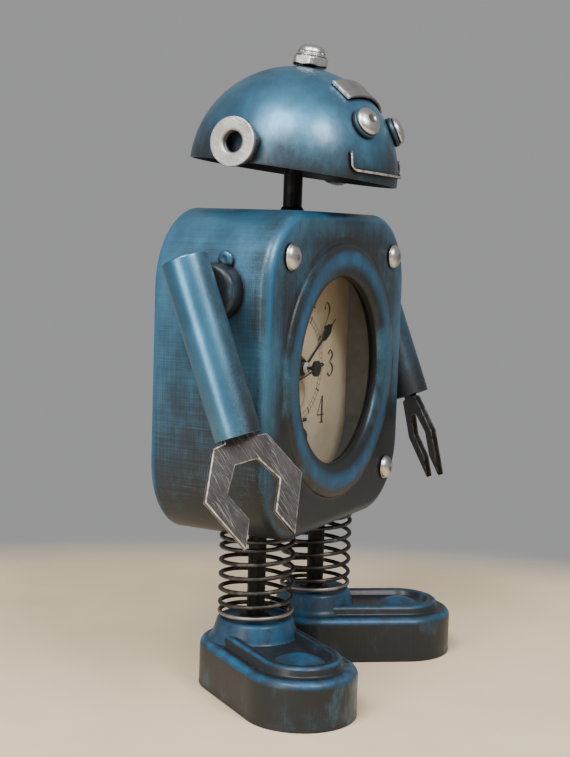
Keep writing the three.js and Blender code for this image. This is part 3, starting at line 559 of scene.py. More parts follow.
# A darker copy of the filed steel: painted shade for the far claw's face.
STEEL_SHADE = bare_steel("shaded_claw_steel", (0.016, 0.015, 0.015), (0.16, 0.16, 0.16), rough=0.45,
                         lines_on=0.2)
STEEL_WASHER = bare_steel("sanded_steel", (0.5, 0.48, 0.45), (0.75, 0.74, 0.72), rough=0.42, slant=40)
STEEL_BROW = bare_steel("waxed_steel", (0.33, 0.325, 0.315), (0.8, 0.8, 0.8), rough=0.44, lines_on=0.12)
STEEL_MOUTH = bare_steel("edge_steel", (0.09, 0.085, 0.08), (0.85, 0.82, 0.76), rough=0.34, lines_on=0.2)
STEEL_POLISHED = polished_steel("polished_steel")
STEEL_DARK = dark_steel("blackened_steel")
STEEL_NUT = dark_steel("stained_nut", base=(0.03, 0.036, 0.042), shine=(0.3, 0.31, 0.33))
STEEL_ROD = dark_steel("black_rod", base=(0.012, 0.012, 0.012), shine=(0.1, 0.09, 0.08))
PAPER = aged_paper("dial_card")
INK = plain("dial_ink", (0.035, 0.03, 0.028), 0.6)
HAND_BLACK = plain("hand_lacquer", (0.012, 0.012, 0.012), 0.36)
RUBBER = plain("gasket_rubber", (0.008, 0.008, 0.008), 0.62, grain=0.4)
CASE_DARK = plain("recess_lacquer", (0.25, 0.245, 0.24), 0.6, grain=0.8)
PLASTIC_BLACK = plain("movement_plastic", (0.02, 0.02, 0.021), 0.45, grain=0.5)
PLASTIC_WHITE = plain("white_plastic", (0.72, 0.72, 0.7), 0.35, grain=0.7, variation=0.08)
BRASS = plain("turned_brass", (0.55, 0.38, 0.14), 0.28, metal=1.0)

# ---------------- body


def body_skin():
    """Pressed tin: side wall, rolled front edge and a front panel open round the clock.

    The roll is rubbed along its middle, with painted shade at its outer edge and a painted highlight that
    makes it brighter near the top; the panel is darkened, partly wash and partly painted shade."""
    panel_inset, panel_wash_and_shade = EDGE + 9, -0.32
    outer = rounded([
        (0, BACK, 0, 0.5), (0, FRONT, EDGE, 1), (panel_inset, FRONT, 0, 0)], steps=8, spread=1.5)
    inner = rounded([
        (panel_inset, FRONT + SHEET, 0, 0), (SHEET, FRONT + SHEET, EDGE - SHEET, 0), (SHEET, BACK, 0, 0.3)],
        steps=4)
    rim = [(0.85, BACK - 0.05, 0.8), (0.35, BACK - 0.05, 1), (0, BACK - 0.5, 0.8), (0.05, BACK - 2.2, 0.15)]
    opening = BEZEL["opening"] + 3.3
    hole = [p.normalized() * opening for p in rounded_square(WIDTH / 2, HEIGHT / 2, CORNER)]

    def ring(inset, depth, wear):
        points = rounded_square(WIDTH / 2 - inset, HEIGHT / 2 - inset, CORNER - inset)
        return [(x, depth, z) for x, z in points], wear

    rings = [ring(*level) for level in rim]
    rings.append(ring(0, FRONT + EDGE + 16, 0))
    for inset, depth, _ in outer[1:-1]:
        rubbed = math.exp(-((inset - 2.4) / 1.1) ** 2)
        shaded = 0.2 * math.exp(-(inset / 1.3) ** 2)
        rings.append(ring(inset, depth, rubbed - shaded))
    rings.append(ring(panel_inset, FRONT, panel_wash_and_shade))
    rings += [([(x, depth, z) for x, z in hole], panel_wash_and_shade) for depth in (FRONT, FRONT + SHEET)]
    rings += [ring(*level) for level in inner]
    vertices, faces, wear = loft(rings, loop=True)
    # Painted highlight: the rubbed line on the roll is kept brighter towards the top.
    for i, point in enumerate(vertices):
        if wear[i] > 0 and point.y < FRONT + EDGE + 2:
            wear[i] *= 0.55 + 0.45 * min(max((point.z - 20) / 25, 0), 1)
    return vertices, faces, wear


def bezel_skin():
    """Ring pressed up round the dial out of a shallow cove, its crest rubbed bright."""
    outer, crest, opening = BEZEL["outer"], BEZEL["crest"], BEZEL["opening"]
    height, lip, reach = BEZEL["height"], BEZEL["lip"], BEZEL["reach"]
    cove, foot, steps = BEZEL["cove"], 0.18, 14
    profile = [(cove, 0.03, 0), (cove - 0.9, 0.05, 0), (outer + 0.6, 0.08, 0), (outer, foot, 0)]
    for k in range(1, steps + 1):
        angle = math.radians(90 * k / steps)
        radius = crest + (outer - 0.1 - crest) * math.cos(angle) ** 0.85
        rubbed = max(0.0, math.sin(angle) - 0.8) / 0.2
        profile.append((radius, foot + (height - foot) * math.sin(angle), 0.9 * rubbed))
    for k in range(1, steps + 1):
        angle = math.radians(90 + 80 * k / steps)
        radius = crest + (crest - opening) * math.cos(angle)
        profile.append((radius, lip + (height - lip) * math.sin(angle), max(0.0, 1 - k / 6.5)))
    # The inner wall of the opening is marked -1 and comes out near black: painted shade in the recess.
    profile += [(opening, lip - 0.6, -1), (opening, -reach, -1), (opening + SHEET, -reach, 0),
                (opening + SHEET, lip, 0)]
    for k in range(9):
        angle = math.radians(165 - 165 * k / 8)
        width = crest - opening - SHEET if angle > math.pi / 2 else outer - SHEET - crest
        low = lip if angle > math.pi / 2 else 0.02
        profile.append((crest + width * math.cos(angle), low + (height - SHEET - low) * math.sin(angle), 0))
    return spun(profile, 160, loop=True)


def stud_skin(pillar_end):
    """Domed head with a small flat on its crown, and the pillar behind the panel."""
    radius, height, pillar, neck = STUD["radius"], STUD["height"], STUD["pillar"], STUD["neck"]
    gap = 0.3
    dome = []
    for k in range(1, 13):
        angle = math.radians(76 * k / 12)
        dome.append((radius * math.cos(angle) ** 0.9, gap + (height - gap) * math.sin(angle), 0.2))
    crown = dome[-1][1]
    # The crown's small flat is marked 1, which the polished steel darkens as a painted reflection.
    profile = [(0, pillar_end, 0), (pillar, pillar_end, 0), (pillar, -SHEET - gap, 0),
               (neck, -SHEET - gap, 0), (neck, gap, 0), (radius - 0.5, gap, 0), (radius, gap + 0.5, 0.1),
               *dome, (1.5, crown - 0.15, 1), (0, crown - 0.2, 1)]
    return spun(profile, 40)


def weld_bead(radius, height, seed, wide):
    """Lumpy ring of weld metal round a rod that stands on a surface."""
    pick = random.Random(seed)
    lumps = [(pick.uniform(0, math.tau), pick.randint(3, 9), pick.uniform(0.05, 0.2)) for _ in range(6)]

    def lump(angle):
        return sum(size * math.sin(count * angle + phase) for phase, count, size in lumps)

    inside, sunk = radius - 0.8, -0.6
    profile = [(inside, sunk, 0), (radius + wide + 0.9, sunk, 0), (radius + wide, height * 0.3, 0),
               (radius + wide * 0.55, height * 0.75, 0.3), (radius + 0.1, height, 0.1), (inside, height, 0)]
    return spun(profile, 48, lump, loop=True)


def weld_drop():
    """Flat blob of weld, a little out of round."""

    def lump(angle):
        return 0.14 * math.sin(2 * angle + 1) + 0.05 * math.sin(5 * angle)

    profile = [(3.7, -0.5, 0), (3.6, 0, 0), (3.45, 0.5, 0), (3, 0.95, 0), (2.3, 1.2, 0), (1.5, 1.15, 0),
               (0.8, 0.95, 0), (0, 0.85, 0)]
    return spun(profile, 36, lump)


def make_body():
    build("body_skin", body_skin(), at(0, 0, CLOCK.z), "body", PAINT_BODY, ["body_shell"])
    build("bezel_skin", bezel_skin(), at(0, FRONT, CLOCK.z) @ FORWARD, "body", PAINT_BEZEL,
          ["bezel_ring"])
    for number in range(1, 5):
        node = f"front_stud_{number}"
        low, high = corners(node)
        place = at((low.x + high.x) / 2, FRONT, (low.z + high.z) / 2) @ FORWARD
        build(f"stud_{number}", stud_skin(FRONT - high.y), place, "body", STEEL_POLISHED,
              [node])
    neck = middle("neck_nut")
    build("neck_weld", weld_bead(4.5, 2.2, 3, wide=1.2), at(neck.x, neck.y, TOP), "body",
          STEEL_ROD)
    for name, side in SIDES.items():
        pivot = joint(f"arm_{name}_swing")
        radius, near = BOSS["radius"], WIDTH / 2 - BOSS["gap"]
        far = abs(pivot.x) - ARM["radius"] - BOSS["gap"]
        profile = rounded([(0, near, 0, 0), (radius, near, 0, 0), (radius, far, BOSS["round"], 0.5),
                           (0, far, 0, 0)], steps=7, spread=1)
        build(f"boss_{name}", spun(profile, 56), at(0, pivot.y, pivot.z) @ sideways(side), "body",
              PAINT_BOSS, [f"shoulder_boss_{name}"])
        spot = at(side * WIDTH / 2, pivot.y - 3.1, pivot.z + radius + 1.6)
        build(f"weld_drop_{name}", weld_drop(), spot @ sideways(side), "body", PAINT_BODY)


# ---------------- head


def dome_skin():
    """Thin half-sphere open below, with a hole for the neck; its paint is darker towards its lower edge."""
    inner, hole, lift = HEAD_RADIUS - SHEET, 3.4, -0.12
    outside, inside = [], []
    steps = 48
    for k in range(steps + 1):
        angle = math.acos(hole / HEAD_RADIUS) * k / steps
        wear = max(0.0, (k - 46.5) / 2) * 0.6 - 0.45 * max(0.0, 1 - k / 16)
        outside.append((*on_circle(angle, HEAD_RADIUS), wear))
    steps = 24
    for k in range(steps + 1):
        angle = math.acos(hole / inner) * (1 - k / steps)
        inside.append((*on_circle(angle, inner), 0))
    rim = [(inner + 0.3, lift, -0.5), (HEAD_RADIUS - 0.3, lift, 0.3)]
    return spun(outside + inside + rim, 128, loop=True)


def brow_skin():
    """Bent strip with a bevelled edge all round."""
    half = math.asin(BROW["half_length"] / BROW["radius"])
    t, w, b = BROW["thickness"] / 2, BROW["width"] / 2, 0.35
    section = [(w - b, t), (w, t - b), (w, -t + b), (w - b, -t)]
    section = [(-w + b, t), *section, (-w + b, -t), (-w, -t + b), (-w, t - b)]
    rings = []
    steps = 24
    for k in range(-1, steps + 2):
        share = min(max(k, 0), steps) / steps
        angle = half * (2 * share - 1)
        shrink = 0.3 if k in (-1, steps + 1) else 0
        up = Vector((math.sin(angle), math.cos(angle), 0))
        centre = up * (BROW["radius"] + t)
        points = [centre + Vector((0, 0, a * (1 - shrink * 0.1))) + up * c * (1 - shrink) for a, c in section]
        rings.append((points, 1 if k < 1 or k > steps - 1 else 0))
    return loft(rings)


def mouth_skin():
    """U-shaped strip standing on edge round the front of the dome."""
    corner, low, top, end = MOUTH["corner"], MOUTH["low"], MOUTH["top"], MOUTH["half_width"]
    left = [(-end, top - (top - low - corner) * k / 4) for k in range(4)]
    left += [(-end + corner * (1 - math.cos(a)), low + corner * (1 - math.sin(a)))
             for a in (math.radians(18 * k) for k in range(6))]
    straight = [((end - corner) * (k / 10 - 1), low) for k in range(1, 20)]
    run = left + straight + [(-x, z) for x, z in reversed(left)]
    path = []
    for i, (x, z) in enumerate(run):
        before, after = run[max(i - 1, 0)], run[min(i + 1, len(run) - 1)]
        along = Vector((after[0] - before[0], 0, after[1] - before[1])).normalized()
        outward = Vector((x, -math.sqrt(HEAD_RADIUS ** 2 - x * x - z * z), z)).normalized()
        path.append((outward * HEAD_RADIUS, along.cross(outward).normalized(), outward))
    h, b, proud = MOUTH["thickness"] / 2, 0.3, MOUTH["proud"]
    section = [(-h, 0.1), (-h, proud - b), (-h + b, proud), (h - b, proud), (h, proud - b), (h, 0.1)]
    vertices, faces, _ = sweep(path, section)
    return vertices, faces, [0, 0.1, 1, 1, 0.1, 0] * len(path)


def hex_nut(radius, bore, low, high, crown=1.3, soft=0.5):
    """Hexagonal nut: rounded corners, and both faces turned to a cone that leaves an arch on every flat."""
    segments = 120
    apothem = radius * math.cos(math.pi / 6)

    def flat(angle):
        turn = (angle + math.pi / 6) % (math.pi / 3) - math.pi / 6
        return min(apothem / math.cos(turn), radius - soft * abs(turn) / (math.pi / 6))

    def cone(share):
        """Largest radius at a share of the crown's depth below the face."""
        return apothem - 0.35 + (radius - apothem + 0.45) * math.sin(share * math.pi / 2)

    shares = (0, 0.15, 0.35, 0.6, 1.0)
    levels = [(low + crown * share, cone(share), 0.25) for share in shares]
    levels += [(high - crown * share, cone(share), 0.9 - 0.4 * share) for share in reversed(shares)]
    angles = [math.tau * k / segments for k in range(segments)]
    rings = [([(*on_circle(a, bore), low) for a in angles], 0)]
    for height, limit, wear in levels:
        rings.append(([(*on_circle(a, min(flat(a), limit)), height) for a in angles], wear))
    rings.append(([(*on_circle(a, bore), high) for a in angles], 0.2))
    return loft(rings, loop=True)


def make_head():
    turn = at(*joint("head_turn"))
    place = turn @ turned("X", HEAD_LEAN["forward"]) @ turned("Y", HEAD_LEAN["sideways"])
    dome = build("dome_skin", dome_skin(), place, "head", PAINT_DOME, ["head_dome"])
    # The dome's inside faces take the near-black copy of the paint: painted shade.
    dome.data.materials.append(PAINT_SHADE_INSIDE)
    centre = turn.translation * METRE
    for face in dome.data.polygons:
        if (face.center - centre).length < (HEAD_RADIUS - SHEET * 0.8) * METRE:
            face.material_index = 1
    askew = place @ turned("Z", BROW["turn"]) @ turned("X", 180 - BROW["lift"]) @ turned("Y", -BROW["roll"])
    build("brow_strip", brow_skin(), askew, "head", STEEL_BROW, ["eyebrow"])
    build("mouth_strip", mouth_skin(), place @ turned("Y", -MOUTH["lean"]), "head",
          STEEL_MOUTH, ["mouth"])
    build("antenna_hex", hex_nut(**CROWN_NUT), place, "body", STEEL_POLISHED,
          ["antenna_nut"])
    foot, low, radius = CAP["foot"], CAP["low"], CAP["radius"]
    cap = rounded([(0, low, 0, 0), (foot, low, 0.3, 0), (foot, low + 0.7, 0.3, 0),
                   (radius, low + 1.3, 0.5, 0), (radius - 0.1, CAP["shoulder"], 3.6, 0),
                   (0, CAP["top"], 0, 0)], steps=9, spread=0.4)
    build("antenna_dome", spun(cap, 48), place, "body", STEEL_POLISHED, ["antenna_cap"])
    for name, side in SIDES.items():
        make_eye(name, place @ turned("Z", side * EYE["turn"]) @ turned("X", 90 - EYE["lift"]))
        make_ear(name, side, place @ at(0, EAR["y"], EAR["z"] + side * EAR["skew"]) @ sideways(side))


def make_eye(name, place):
    """Painted cup with a domed rivet in it."""
    radius, rivet = EYE["radius"], EYE["rivet"]
    foot, face = HEAD_RADIUS - 0.3, HEAD_RADIUS + 0.3 + EYE["depth"]
    base = rounded([(0, foot, 0, 0), (radius, foot, 0, 0), (radius, face, 0.9, 0.7), (0, face, 0, 0)],
                   steps=7, spread=0.4)
    build(f"eye_cup_{name}", spun(base, 48), place, "head", PAINT_BEZEL, [f"eye_base_{name}"])
    seat = face + 0.1
    dome = [(rivet * math.cos(a), seat + 0.6 + EYE["bulge"] * math.sin(a), 0.2)
            for a in (math.radians(6 * k) for k in range(13))]
    crown = dome[-1][1]
    # The crown's flat is marked 1, which the polished steel darkens as a painted reflection.
    profile = [(0, seat, 0), (rivet - 0.2, seat, 0), *dome, (2, crown - 0.02, 1), (0, crown - 0.05, 1)]
    build(f"eye_dome_{name}", spun(profile, 48), place, "head", STEEL_POLISHED,
          [f"eye_rivet_{name}"])


def make_ear(name, side, place):
    """Washer standing off the dome on a hexagon nut."""
    inner, outer, near = EAR["hole"] - 0.5, EAR["washer"], HEAD_RADIUS + EAR["stand"]
    far = near + EAR["thickness"]
    washer = rounded([(inner, near, 0.3, 0), (outer, near, 0.3, 0.3), (outer, far, 0.45, 1),
                      (inner, far, 1.3, 0)], steps=6, spread=0.4, closed=True)
    build(f"ear_ring_{name}", spun(washer, 72, loop=True), place, "head", STEEL_WASHER,
          [f"ear_washer_{name}"])
    nut = hex_nut(EAR["nut"], 4.6, HEAD_RADIUS + 0.1, near - 0.1)
    build(f"ear_hex_{name}", nut, place @ turned("Z", 30 + side * EAR["nut_turn"]), "head",
          STEEL_NUT, [f"ear_nut_{name}"])


# ---------------- arms


def tube_skin(side):
    """Closed above and open below; painted shade darkens the tube's front and back, away from its outward
    side.
    """
    outer, inner, top, low = ARM["radius"], ARM["radius"] - SHEET, ARM["above"], -ARM["below"]
    profile = rounded([(0, top, 0, 0), (outer, top, 0.8, 0.7), (outer, low, 0.25, 0.6),
                       (inner, low, 0.25, 0.2), (inner, top - SHEET, 0, 0), (0, top - SHEET, 0, 0)],
                      steps=4, spread=1.2)
    vertices, faces, wear = spun(profile, 72)
    # Painted shade: the paint is darkened on the tube's front and back, away from its outward side.
    for i, point in enumerate(vertices):
        turn = math.degrees(math.atan2(-point.y, side * point.x))
        shade_from = 20 if turn > 0 else 38
        wear[i] -= 0.6 * min(max((abs(turn) - shade_from) / 50, 0), 1)
    return vertices, faces, wear


def claw_outline():
    half = [(12.3, 19.8), (22.3, 0), (11.3, -23.1), (6, -11.9), (12, 0.4), (5.3, 10.8)]
    tang = [(-7, 20.4), (-7, 33), (7, 33), (7, 20.4)]
    left = [(-x, z) for x, z in reversed(half)]
    return tang + half + left


def make_arms():
    for name, side in SIDES.items():
        place = at(*joint(f"arm_{name}_swing")) @ turned("X", -ARM["swing"])
        body = f"arm_{name}"
        build(f"tube_{name}", tube_skin(side), place, body, PAINT_ARM, [f"arm_tube_{name}"])
        half = CLAW["thickness"] / 2
        jaw = plate(claw_outline(), -half, half, worn=0.6)
        # The far (left) claw takes the darker copy of the filed steel: painted shade on its face.
        steel = STEEL_SHADE if name == "left" else STEEL_BARE
        build(f"jaw_{name}", jaw, place @ at(0, 0, -CLAW["reach"]) @ turned("Z", side * CLAW["turn"]), body,
              steel, [f"claw_{name}"])


# ---------------- legs and feet


def foot_skin():
    """Pressed shoe: hemmed wall, shelf, raised tier with a sunk floor, toe dome and a bell collar."""
    wall, tier, seat = FOOT["wall"], FOOT["tier"], FOOT["seat"]
    hem, floor = FOOT["plate"] + 1.7, FOOT["tier"] - 3
    profile = rounded([
        (1.2, 0.6, 0, 0), (0.05, 0.4, 0.15, 0), (0.3, hem, 0.5, 0), (0.3, wall, FOOT["edge"], 1),
        (6.4, wall, 1.2, 0), (7.6, tier, 2.2, 0.9), (11.4, tier, 1.6, 0.5), (13.4, floor, 1.4, 0),
        (24, floor, 0, 0)], steps=6)
    rings = [([(x, y, height) for x, y in stadium(inset)], wear) for inset, height, wear in profile]
    crown = []
    for k in range(13):
        share = k / 12
        rise = 3.6 * math.sin(share * math.pi / 2) ** 1.3
        crown.append((TOE_DOME * (1 - share), floor - 0.4 + rise, 0.85 * share ** 0.5))
    toe = at(0, FOOT["width"] - FOOT["length"] + 0.5, 0)
    collar = rounded([(COLLAR["foot"], 21, 0, 0), (COLLAR["waist"], 22.4, 4.6, 0.5),
                      (COLLAR["top"], seat, 2.4, 0.3), (0, seat, 0, 0)], steps=10, spread=0.6)
    vertices, faces, wear = spun(collar, 72, caps=False)
    bell = vertices, faces, [max(w, 0.55) for w in wear]
    return merged(loft(rings), moved(spun(crown, 56, caps=False), toe), bell)


def sole_skin():
    """Thin plate folded in under the shoe, with a rounded edge."""
    top = FOOT["plate"]
    levels = [(2.2, 0, 0), (0.9, 0, 0), (0.5, 0.15, 0), (0.45, 0.4, 0), (0.9, 0.9, 0), (2.2, top, 0)]
    return loft([([(x, y, height) for x, y in stadium(inset)], wear) for inset, height, wear in levels])


def spring_skin():
    """Coil with closed end turns; the lowest one is rubbed bright."""
    wire, turns, closing = SPRING["wire"], SPRING["turns"], SPRING["closing"]
    radius = SPRING["outer"] - wire
    low, high = FOOT["seat"] + 0.2 + wire, BOTTOM - 0.2 - wire
    pitch = (high - low - 2 * closing) / (turns - 2)
    steps, sides = 60, 12
    path, wear = [], []
    for k in range(turns * steps + 1):
        turn = k / steps
        rise = (min(turn, 1) * closing + min(max(turn - 1, 0), turns - 2) * pitch
                + max(turn - turns + 1, 0) * closing)
        out = Vector((*on_circle(math.tau * turn), 0))
        path.append((out * radius + Vector((0, 0, low + rise)), out, Vector((0, 0, 1))))
        wear.append(0.9 if turn < 1 else 0.12)
    angles = [math.tau * k / sides for k in range(sides)]
    vertices, faces, _ = sweep(path, [on_circle(a, wire) for a in angles])
    return vertices, faces, [w * max(0.0, math.cos(a)) for w in wear for a in angles]


def make_legs():
    for name, side in SIDES.items():
        rod = middle(f"leg_rod_{name}")
        place = at(rod.x, rod.y, 0) @ turned("Z", side * TOE_OUT)
        build(f"shoe_{name}", foot_skin(), place, "body", PAINT_FOOT, [f"foot_shell_{name}"])
        build(f"sole_{name}", sole_skin(), place, "body", PAINT_SOLE, [f"foot_plate_{name}"])
        build(f"coil_{name}", spring_skin(), place, "body", STEEL_DARK, [f"leg_spring_{name}"])
        weld = weld_bead(4.25, 1.6, 11 + side, wide=2.6)
        build(f"rod_weld_{name}", weld, place @ at(0, 0, FOOT["seat"]), "body", STEEL_ROD)


# ---------------- clock


def smooth_path(points):
    """Catmull-Rom curve through (x, z, width) points."""
    steps = 6
    ends = [Vector(p) for p in (points[0], *points, points[-1])]
    curve = []
    for a, b, c, d in zip(ends, ends[1:], ends[2:], ends[3:]):
        for k in range(steps):
            t = k / steps
            curve.append(b + ((c - a) * t + (2 * a - 5 * b + 4 * c - d) * t ** 2
                              + (3 * b - a - 3 * c + d) * t ** 3) / 2)
    return curve + [ends[-1]]


def stroke(points, size, origin=(0, 0)):
    """One pen stroke of ink lying on the dial, thick and thin along its length."""
    depth = DIAL_FACE - INK_HEIGHT
    back = depth + 0.05
    curve = smooth_path(points)
    rings = []
    for i, (x, z, width) in enumerate(curve):
        along = (curve[min(i + 1, len(curve) - 1)] - curve[max(i - 1, 0)]).xy.normalized()
        side = Vector((-along.y, along.x)) * width * size / 2
        centre = Vector((origin[0] + x * size, origin[1] + z * size))
        a, b = centre + side, centre - side
        rings.append(([(a.x, depth, a.y), (b.x, depth, b.y), (b.x, back, b.y), (a.x, back, a.y)], 0))
    return loft(rings)


INK_HEIGHT = 0.06
THIN, THICK = 0.045, 0.13
DIGITS = {
    "0": [[(0.27, 0.98, THIN), (0.07, 0.72, THICK), (0.07, 0.28, THICK), (0.27, 0.02, THIN),
           (0.47, 0.28, THICK), (0.47, 0.72, THICK), (0.27, 0.98, THIN)]],
    "1": [[(0.1, 0.78, THIN), (0.2, 0.84, THIN), (0.3, 0.98, THICK)],
          [(0.29, 0.97, THICK), (0.29, 0.03, THICK)],
          [(0.12, 0.02, THIN), (0.46, 0.02, THIN)]],
    "2": [[(0.12, 0.74, THICK), (0.08, 0.84, THIN), (0.26, 0.98, THIN), (0.46, 0.76, THICK),
           (0.34, 0.44, THIN), (0.06, 0.05, THIN)],
          [(0.05, 0.05, THIN), (0.24, 0.08, THICK), (0.42, 0.03, THICK), (0.53, 0.18, THIN)]],
    "3": [[(0.1, 0.84, THICK), (0.24, 0.98, THIN), (0.44, 0.78, THICK), (0.22, 0.55, THIN)],
          [(0.22, 0.55, THIN), (0.5, 0.3, THICK), (0.28, 0.02, THIN), (0.06, 0.14, THICK)]],
    "4": [[(0.38, 0.98, THIN), (0.2, 0.68, THIN), (0, 0.3, THIN)],
          [(0, 0.29, THIN), (0.56, 0.29, THIN)],
          [(0.38, 0.98, THICK), (0.38, 0.02, THICK)],
          [(0.24, 0.01, THIN), (0.52, 0.01, THIN)]],
    "5": [[(0.14, 0.97, THICK), (0.46, 0.97, THICK)],
          [(0.14, 0.97, THIN), (0.09, 0.54, THIN)],
          [(0.09, 0.54, THIN), (0.28, 0.62, THIN), (0.5, 0.34, THICK), (0.28, 0.02, THIN),
           (0.06, 0.14, THICK)]],
    "6": [[(0.44, 0.9, THIN), (0.26, 0.94, THIN), (0.06, 0.5, THICK), (0.1, 0.14, THICK),
           (0.28, 0.02, THIN), (0.49, 0.28, THICK), (0.28, 0.56, THIN), (0.09, 0.36, THIN)]],
    "7": [[(0.06, 0.84, THIN), (0.1, 0.96, THICK), (0.52, 0.96, THIN)],
          [(0.52, 0.96, THIN), (0.28, 0.45, THICK), (0.2, 0.02, THICK)]],
    "8": [[(0.28, 0.54, THIN), (0.1, 0.76, THICK), (0.28, 0.98, THIN), (0.45, 0.77, THICK),
           (0.28, 0.54, THIN), (0.06, 0.27, THICK), (0.28, 0.02, THIN), (0.5, 0.27, THICK),
           (0.28, 0.54, THIN)]],
    "9": [[(0.12, 0.1, THIN), (0.3, 0.06, THIN), (0.5, 0.5, THICK), (0.46, 0.86, THICK),
           (0.28, 0.98, THIN), (0.07, 0.72, THICK), (0.28, 0.44, THIN), (0.47, 0.64, THIN)]],
}
NUMERAL = {"height": 13.6, "pitch": 0.58, "paired": 0.8}
# Centre of each numeral on the card, clockwise from 1; the left half mirrors the right.
HOUR_PLACES = [(14.5, 34.5), (30.4, 23.4), (35.8, -0.4), (26.6, -22.7), (8.9, -32.6), (0, -36.0)]
TRACK = {"inner": 23.6, "outer": 26.2, "line": 0.22, "heavy": 0.9}
SECONDS = {"z": -13.4, "radii": (8.2, 7.2), "line": 0.2}


def circle_line(radius, z=0, line=TRACK["line"]):
    steps = 96
    angles = [math.tau * k / steps for k in range(steps + 1)]
    return stroke([(radius * math.sin(a), z + radius * math.cos(a), line) for a in angles], 1)


def hour_place(hour):
    if hour == 12:
        return 0, 36.5
    if hour > 6:
        x, z = HOUR_PLACES[11 - hour]
        return -x, z
    return HOUR_PLACES[hour - 1]


def numeral(hour):
    text = str(hour)
    height = NUMERAL["height"] * (NUMERAL["paired"] if len(text) > 1 else 1)
    pitch = NUMERAL["pitch"] * height
    x, z = hour_place(hour)
    x -= pitch * len(text) / 2
    return [stroke(points, height, (x + pitch * i, z - height / 2))
            for i, digit in enumerate(text) for points in DIGITS[digit]]


def make_dial():
    ink = [shape for hour in range(1, 13) for shape in numeral(hour)]
    ink += [circle_line(TRACK[edge]) for edge in ("inner", "outer")]
    for minute in range(60):
        way = Vector((math.sin(math.tau * minute / 60), math.cos(math.tau * minute / 60)))
        heavy = TRACK["heavy"] if minute % 5 == 0 else 0
        ends = way * TRACK["inner"], way * (TRACK["outer"] + heavy)
        ink.append(stroke([(*end, heavy or TRACK["line"]) for end in ends], 1))
    ink += [circle_line(radius, SECONDS["z"], SECONDS["line"]) for radius in SECONDS["radii"]]
    build("dial_print", merged(*ink), at(0, 0, CLOCK.z), "body", INK)


TIME = {"hour": 10, "minute": 9.4}
HANDS = {"hour": {"length": 26, "spade": 3, "eye": 4, "bore": 2.7},
         "minute": {"length": 39.6, "spade": 2.7, "eye": 3, "bore": 1.65}}


def hand_outline(length, spade, eye):
    """Half outline mirrored: stem, squared spade and a fine point."""
    right = [(0.75, eye * 0.8), (0.5, length * 0.56), (spade * 0.7, length * 0.6), (spade, length * 0.66),
             (spade, length * 0.8), (spade * 0.45, length * 0.84), (0.28, length * 0.88), (0.12, length)]
    return right + [(-x, z) for x, z in reversed(right)]


def hand_skin(thick, length, spade, eye, bore):
    ring = rounded([(bore, 0, 0.1, 0), (eye, 0, 0.12, 0), (eye, thick, 0.12, 0), (bore, thick, 0.1, 0)],
                   steps=2, spread=0.1, closed=True)
    arm = plate(hand_outline(length, spade, eye), -thick + 0.05, -0.05, bevel=0.08, worn=0.12)
    return merged(moved(spun(ring, 48, loop=True), FORWARD), arm)


def gasket_skin():
    """Sleeve inside the opening, with a groove behind it that grips the edge of the glass."""
    near, far, lip = GASKET["near"], GASKET["far"], GASKET["lip"]
    bore, shelf, sleeve = GASKET["bore"], GASKET["shelf"], GASKET["sleeve"]
    skirt, seat, outer = GASKET["skirt"], GASKET["seat"], GASKET["outer"]
    profile = rounded([
        (sleeve, -2, 0.3, 0), (skirt, -2, 0.3, 0), (outer, -near + lip, 0.3, 0), (outer, -far - lip, 0.2, 0),
        (shelf, -far - lip, 0.2, 0), (shelf, -far, 0, 0), (seat, -far, 0, 0), (seat, -near, 0, 0),
        (bore, -near, 0.1, 0), (bore, -near + lip, 0.1, 0), (sleeve, -near + lip, 0, 0)],
        steps=3, spread=0.2, closed=True)
    return spun(profile, 120, loop=True)


def make_hands():
    hours = {"hour": TIME["hour"] + TIME["minute"] / 60, "minute": TIME["minute"] / 5}
    for name, sizes in HANDS.items():
        low, high = corners(f"{name}_hand")
        place = at(0, high.y, CLOCK.z) @ turned("Y", 30 * hours[name])
        build(f"{name}_pointer", hand_skin(high.y - low.y - 0.05, **sizes), place, f"{name}_train",
              HAND_BLACK, [f"{name}_hand"])
    build("gasket_skin", gasket_skin(), at(0, FRONT, CLOCK.z) @ FORWARD, "body", RUBBER,
          ["glass_gasket"])


# ---------------- carried-over CAD nodes

FINISHES = [
    (PAINT_BODY, ["rear_cover"]),
    (STEEL_ROD, ["neck_rod", "leg_rod_right", "leg_rod_left"]),
    (STEEL_DARK, ["neck_nut", "head_washer", "shoulder_pin_right", "shoulder_pin_left"]),
    (STEEL_DARK, [f"rear_cover_screw_{number}" for number in range(1, 5)]),
    (clear_glass("clock_glass"), ["clock_glass"]),
    (CASE_DARK, ["clock_case"]),
    (PAPER, ["clock_dial"]),
    (PLASTIC_BLACK, ["movement_case", "movement_cover"]),
    (BRASS, ["movement_nut"]),
    (STEEL_POLISHED, ["battery_contact_1", "battery_contact_2"]),
    (battery_jacket("cell_jacket"), ["battery"]),
    (PLASTIC_WHITE, ["minute_arbor", "hour_wheel", "motion_wheel", "hand_nut"]),
    (HAND_BLACK, ["second_hand"]),
]


def dress_frame():
    for material, nodes in FINISHES:
        for node in nodes:
            for socket in frame["nodes"][node].material_slots:
                socket.material = material


# ---------------- studio

CAMERA = {"azimuth": -63.04, "elevation": 6.17, "roll": 1.91, "distance": 709.2, "lens": 64.36}
AIM = Vector((54.1, FRONT + 56.85, 133.2))


def bearing(azimuth, elevation):
    """Unit vector from the figure towards a viewer at that angle; azimuth 0 looks along +Y."""
    a, e = math.radians(azimuth), math.radians(elevation)
    return Vector((math.sin(a) * math.cos(e), -math.cos(a) * math.cos(e), math.sin(e)))


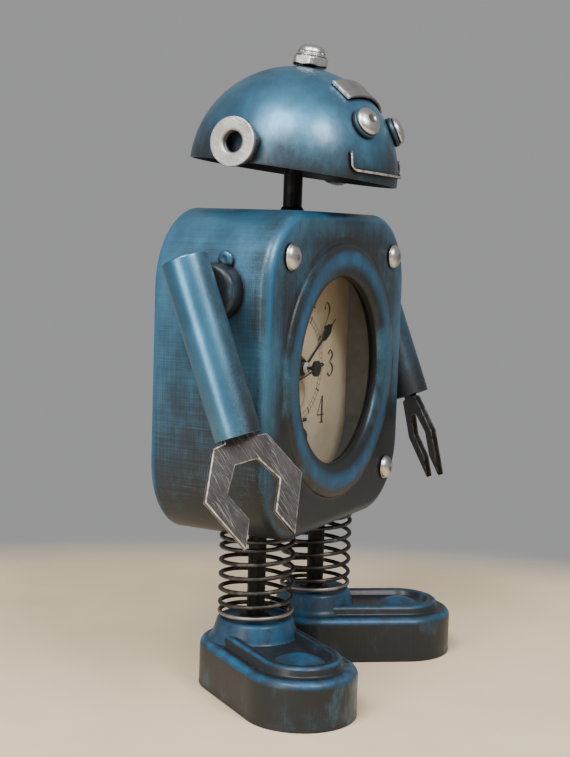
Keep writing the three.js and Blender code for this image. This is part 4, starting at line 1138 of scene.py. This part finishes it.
def make_camera():
    data = bpy.data.cameras.new("camera")
    data.sensor_width = 36
    data.lens = CAMERA["lens"]
    data.clip_start, data.clip_end = 0.05, 20
    camera = new_object("camera", data)
    back = bearing(CAMERA["azimuth"], CAMERA["elevation"])
    spin = back.to_track_quat("Z", "Y").to_matrix().to_4x4() @ turned("Z", CAMERA["roll"])
    camera.matrix_world = Matrix.Translation((AIM + back * CAMERA["distance"]) * METRE) @ spin
    bpy.context.scene.camera = camera


def make_light(name, azimuth, elevation, distance, size, power):
    data = bpy.data.lights.new(name, "AREA")
    data.shape = "RECTANGLE"
    data.size, data.size_y = size
    data.energy = power
    light = new_object(name, data)
    way = bearing(azimuth, elevation)
    centre = Vector((0, 0, CLOCK.z)) * METRE
    light.location = centre + way * distance
    light.rotation_mode = "QUATERNION"
    light.rotation_quaternion = way.to_track_quat("Z", "Y")


def make_floor():
    """Pale board that fades into the plain backdrop beyond the figure."""
    mesh = bpy.data.meshes.new("floor")
    half = 1.4
    square = [(-half, -half, 0), (half, -half, 0), (half, half, 0), (-half, half, 0)]
    mesh.from_pydata(square, [], [(0, 1, 2, 3)])
    floor = new_object("floor", mesh)
    g = Graph("pale_floor")
    centre = bearing(CAMERA["azimuth"], 0) * 0.42
    away = g.add("ShaderNodeVectorMath", output="Value", operation="DISTANCE",
                 inputs={0: g.place, 1: tuple(centre)})
    grain = g.noise((60, 60, 60), detail=4)
    g.surface(
        Base_Color=g.mix(g.span(grain, 0.3, 0.7), (0.74, 0.6, 0.41), (0.69, 0.55, 0.37)),
        Roughness=0.85,
        Specular_IOR_Level=0.1,
        Alpha=g.span(away, 0.6, 0.7, 1.0, 0.0, smooth=True))
    mesh.materials.append(g.material)


def make_studio():
    world = bpy.data.worlds.new("studio")
    world.use_nodes = True
    backdrop = world.node_tree.nodes["Background"]
    backdrop.inputs["Color"].default_value = (0.333, 0.333, 0.337, 1)
    bpy.context.scene.world = world
    make_light("key", -87, 50, 1.1, (0.5, 0.5), 14)
    make_light("second_key", -26, 43, 1.2, (0.42, 0.42), 12)
    make_light("low_fill", -100, 12, 1.3, (0.4, 0.9), 8)
    make_floor()


make_camera()
make_body()
make_head()
make_arms()
make_legs()
make_dial()
make_hands()
dress_frame()
make_studio()
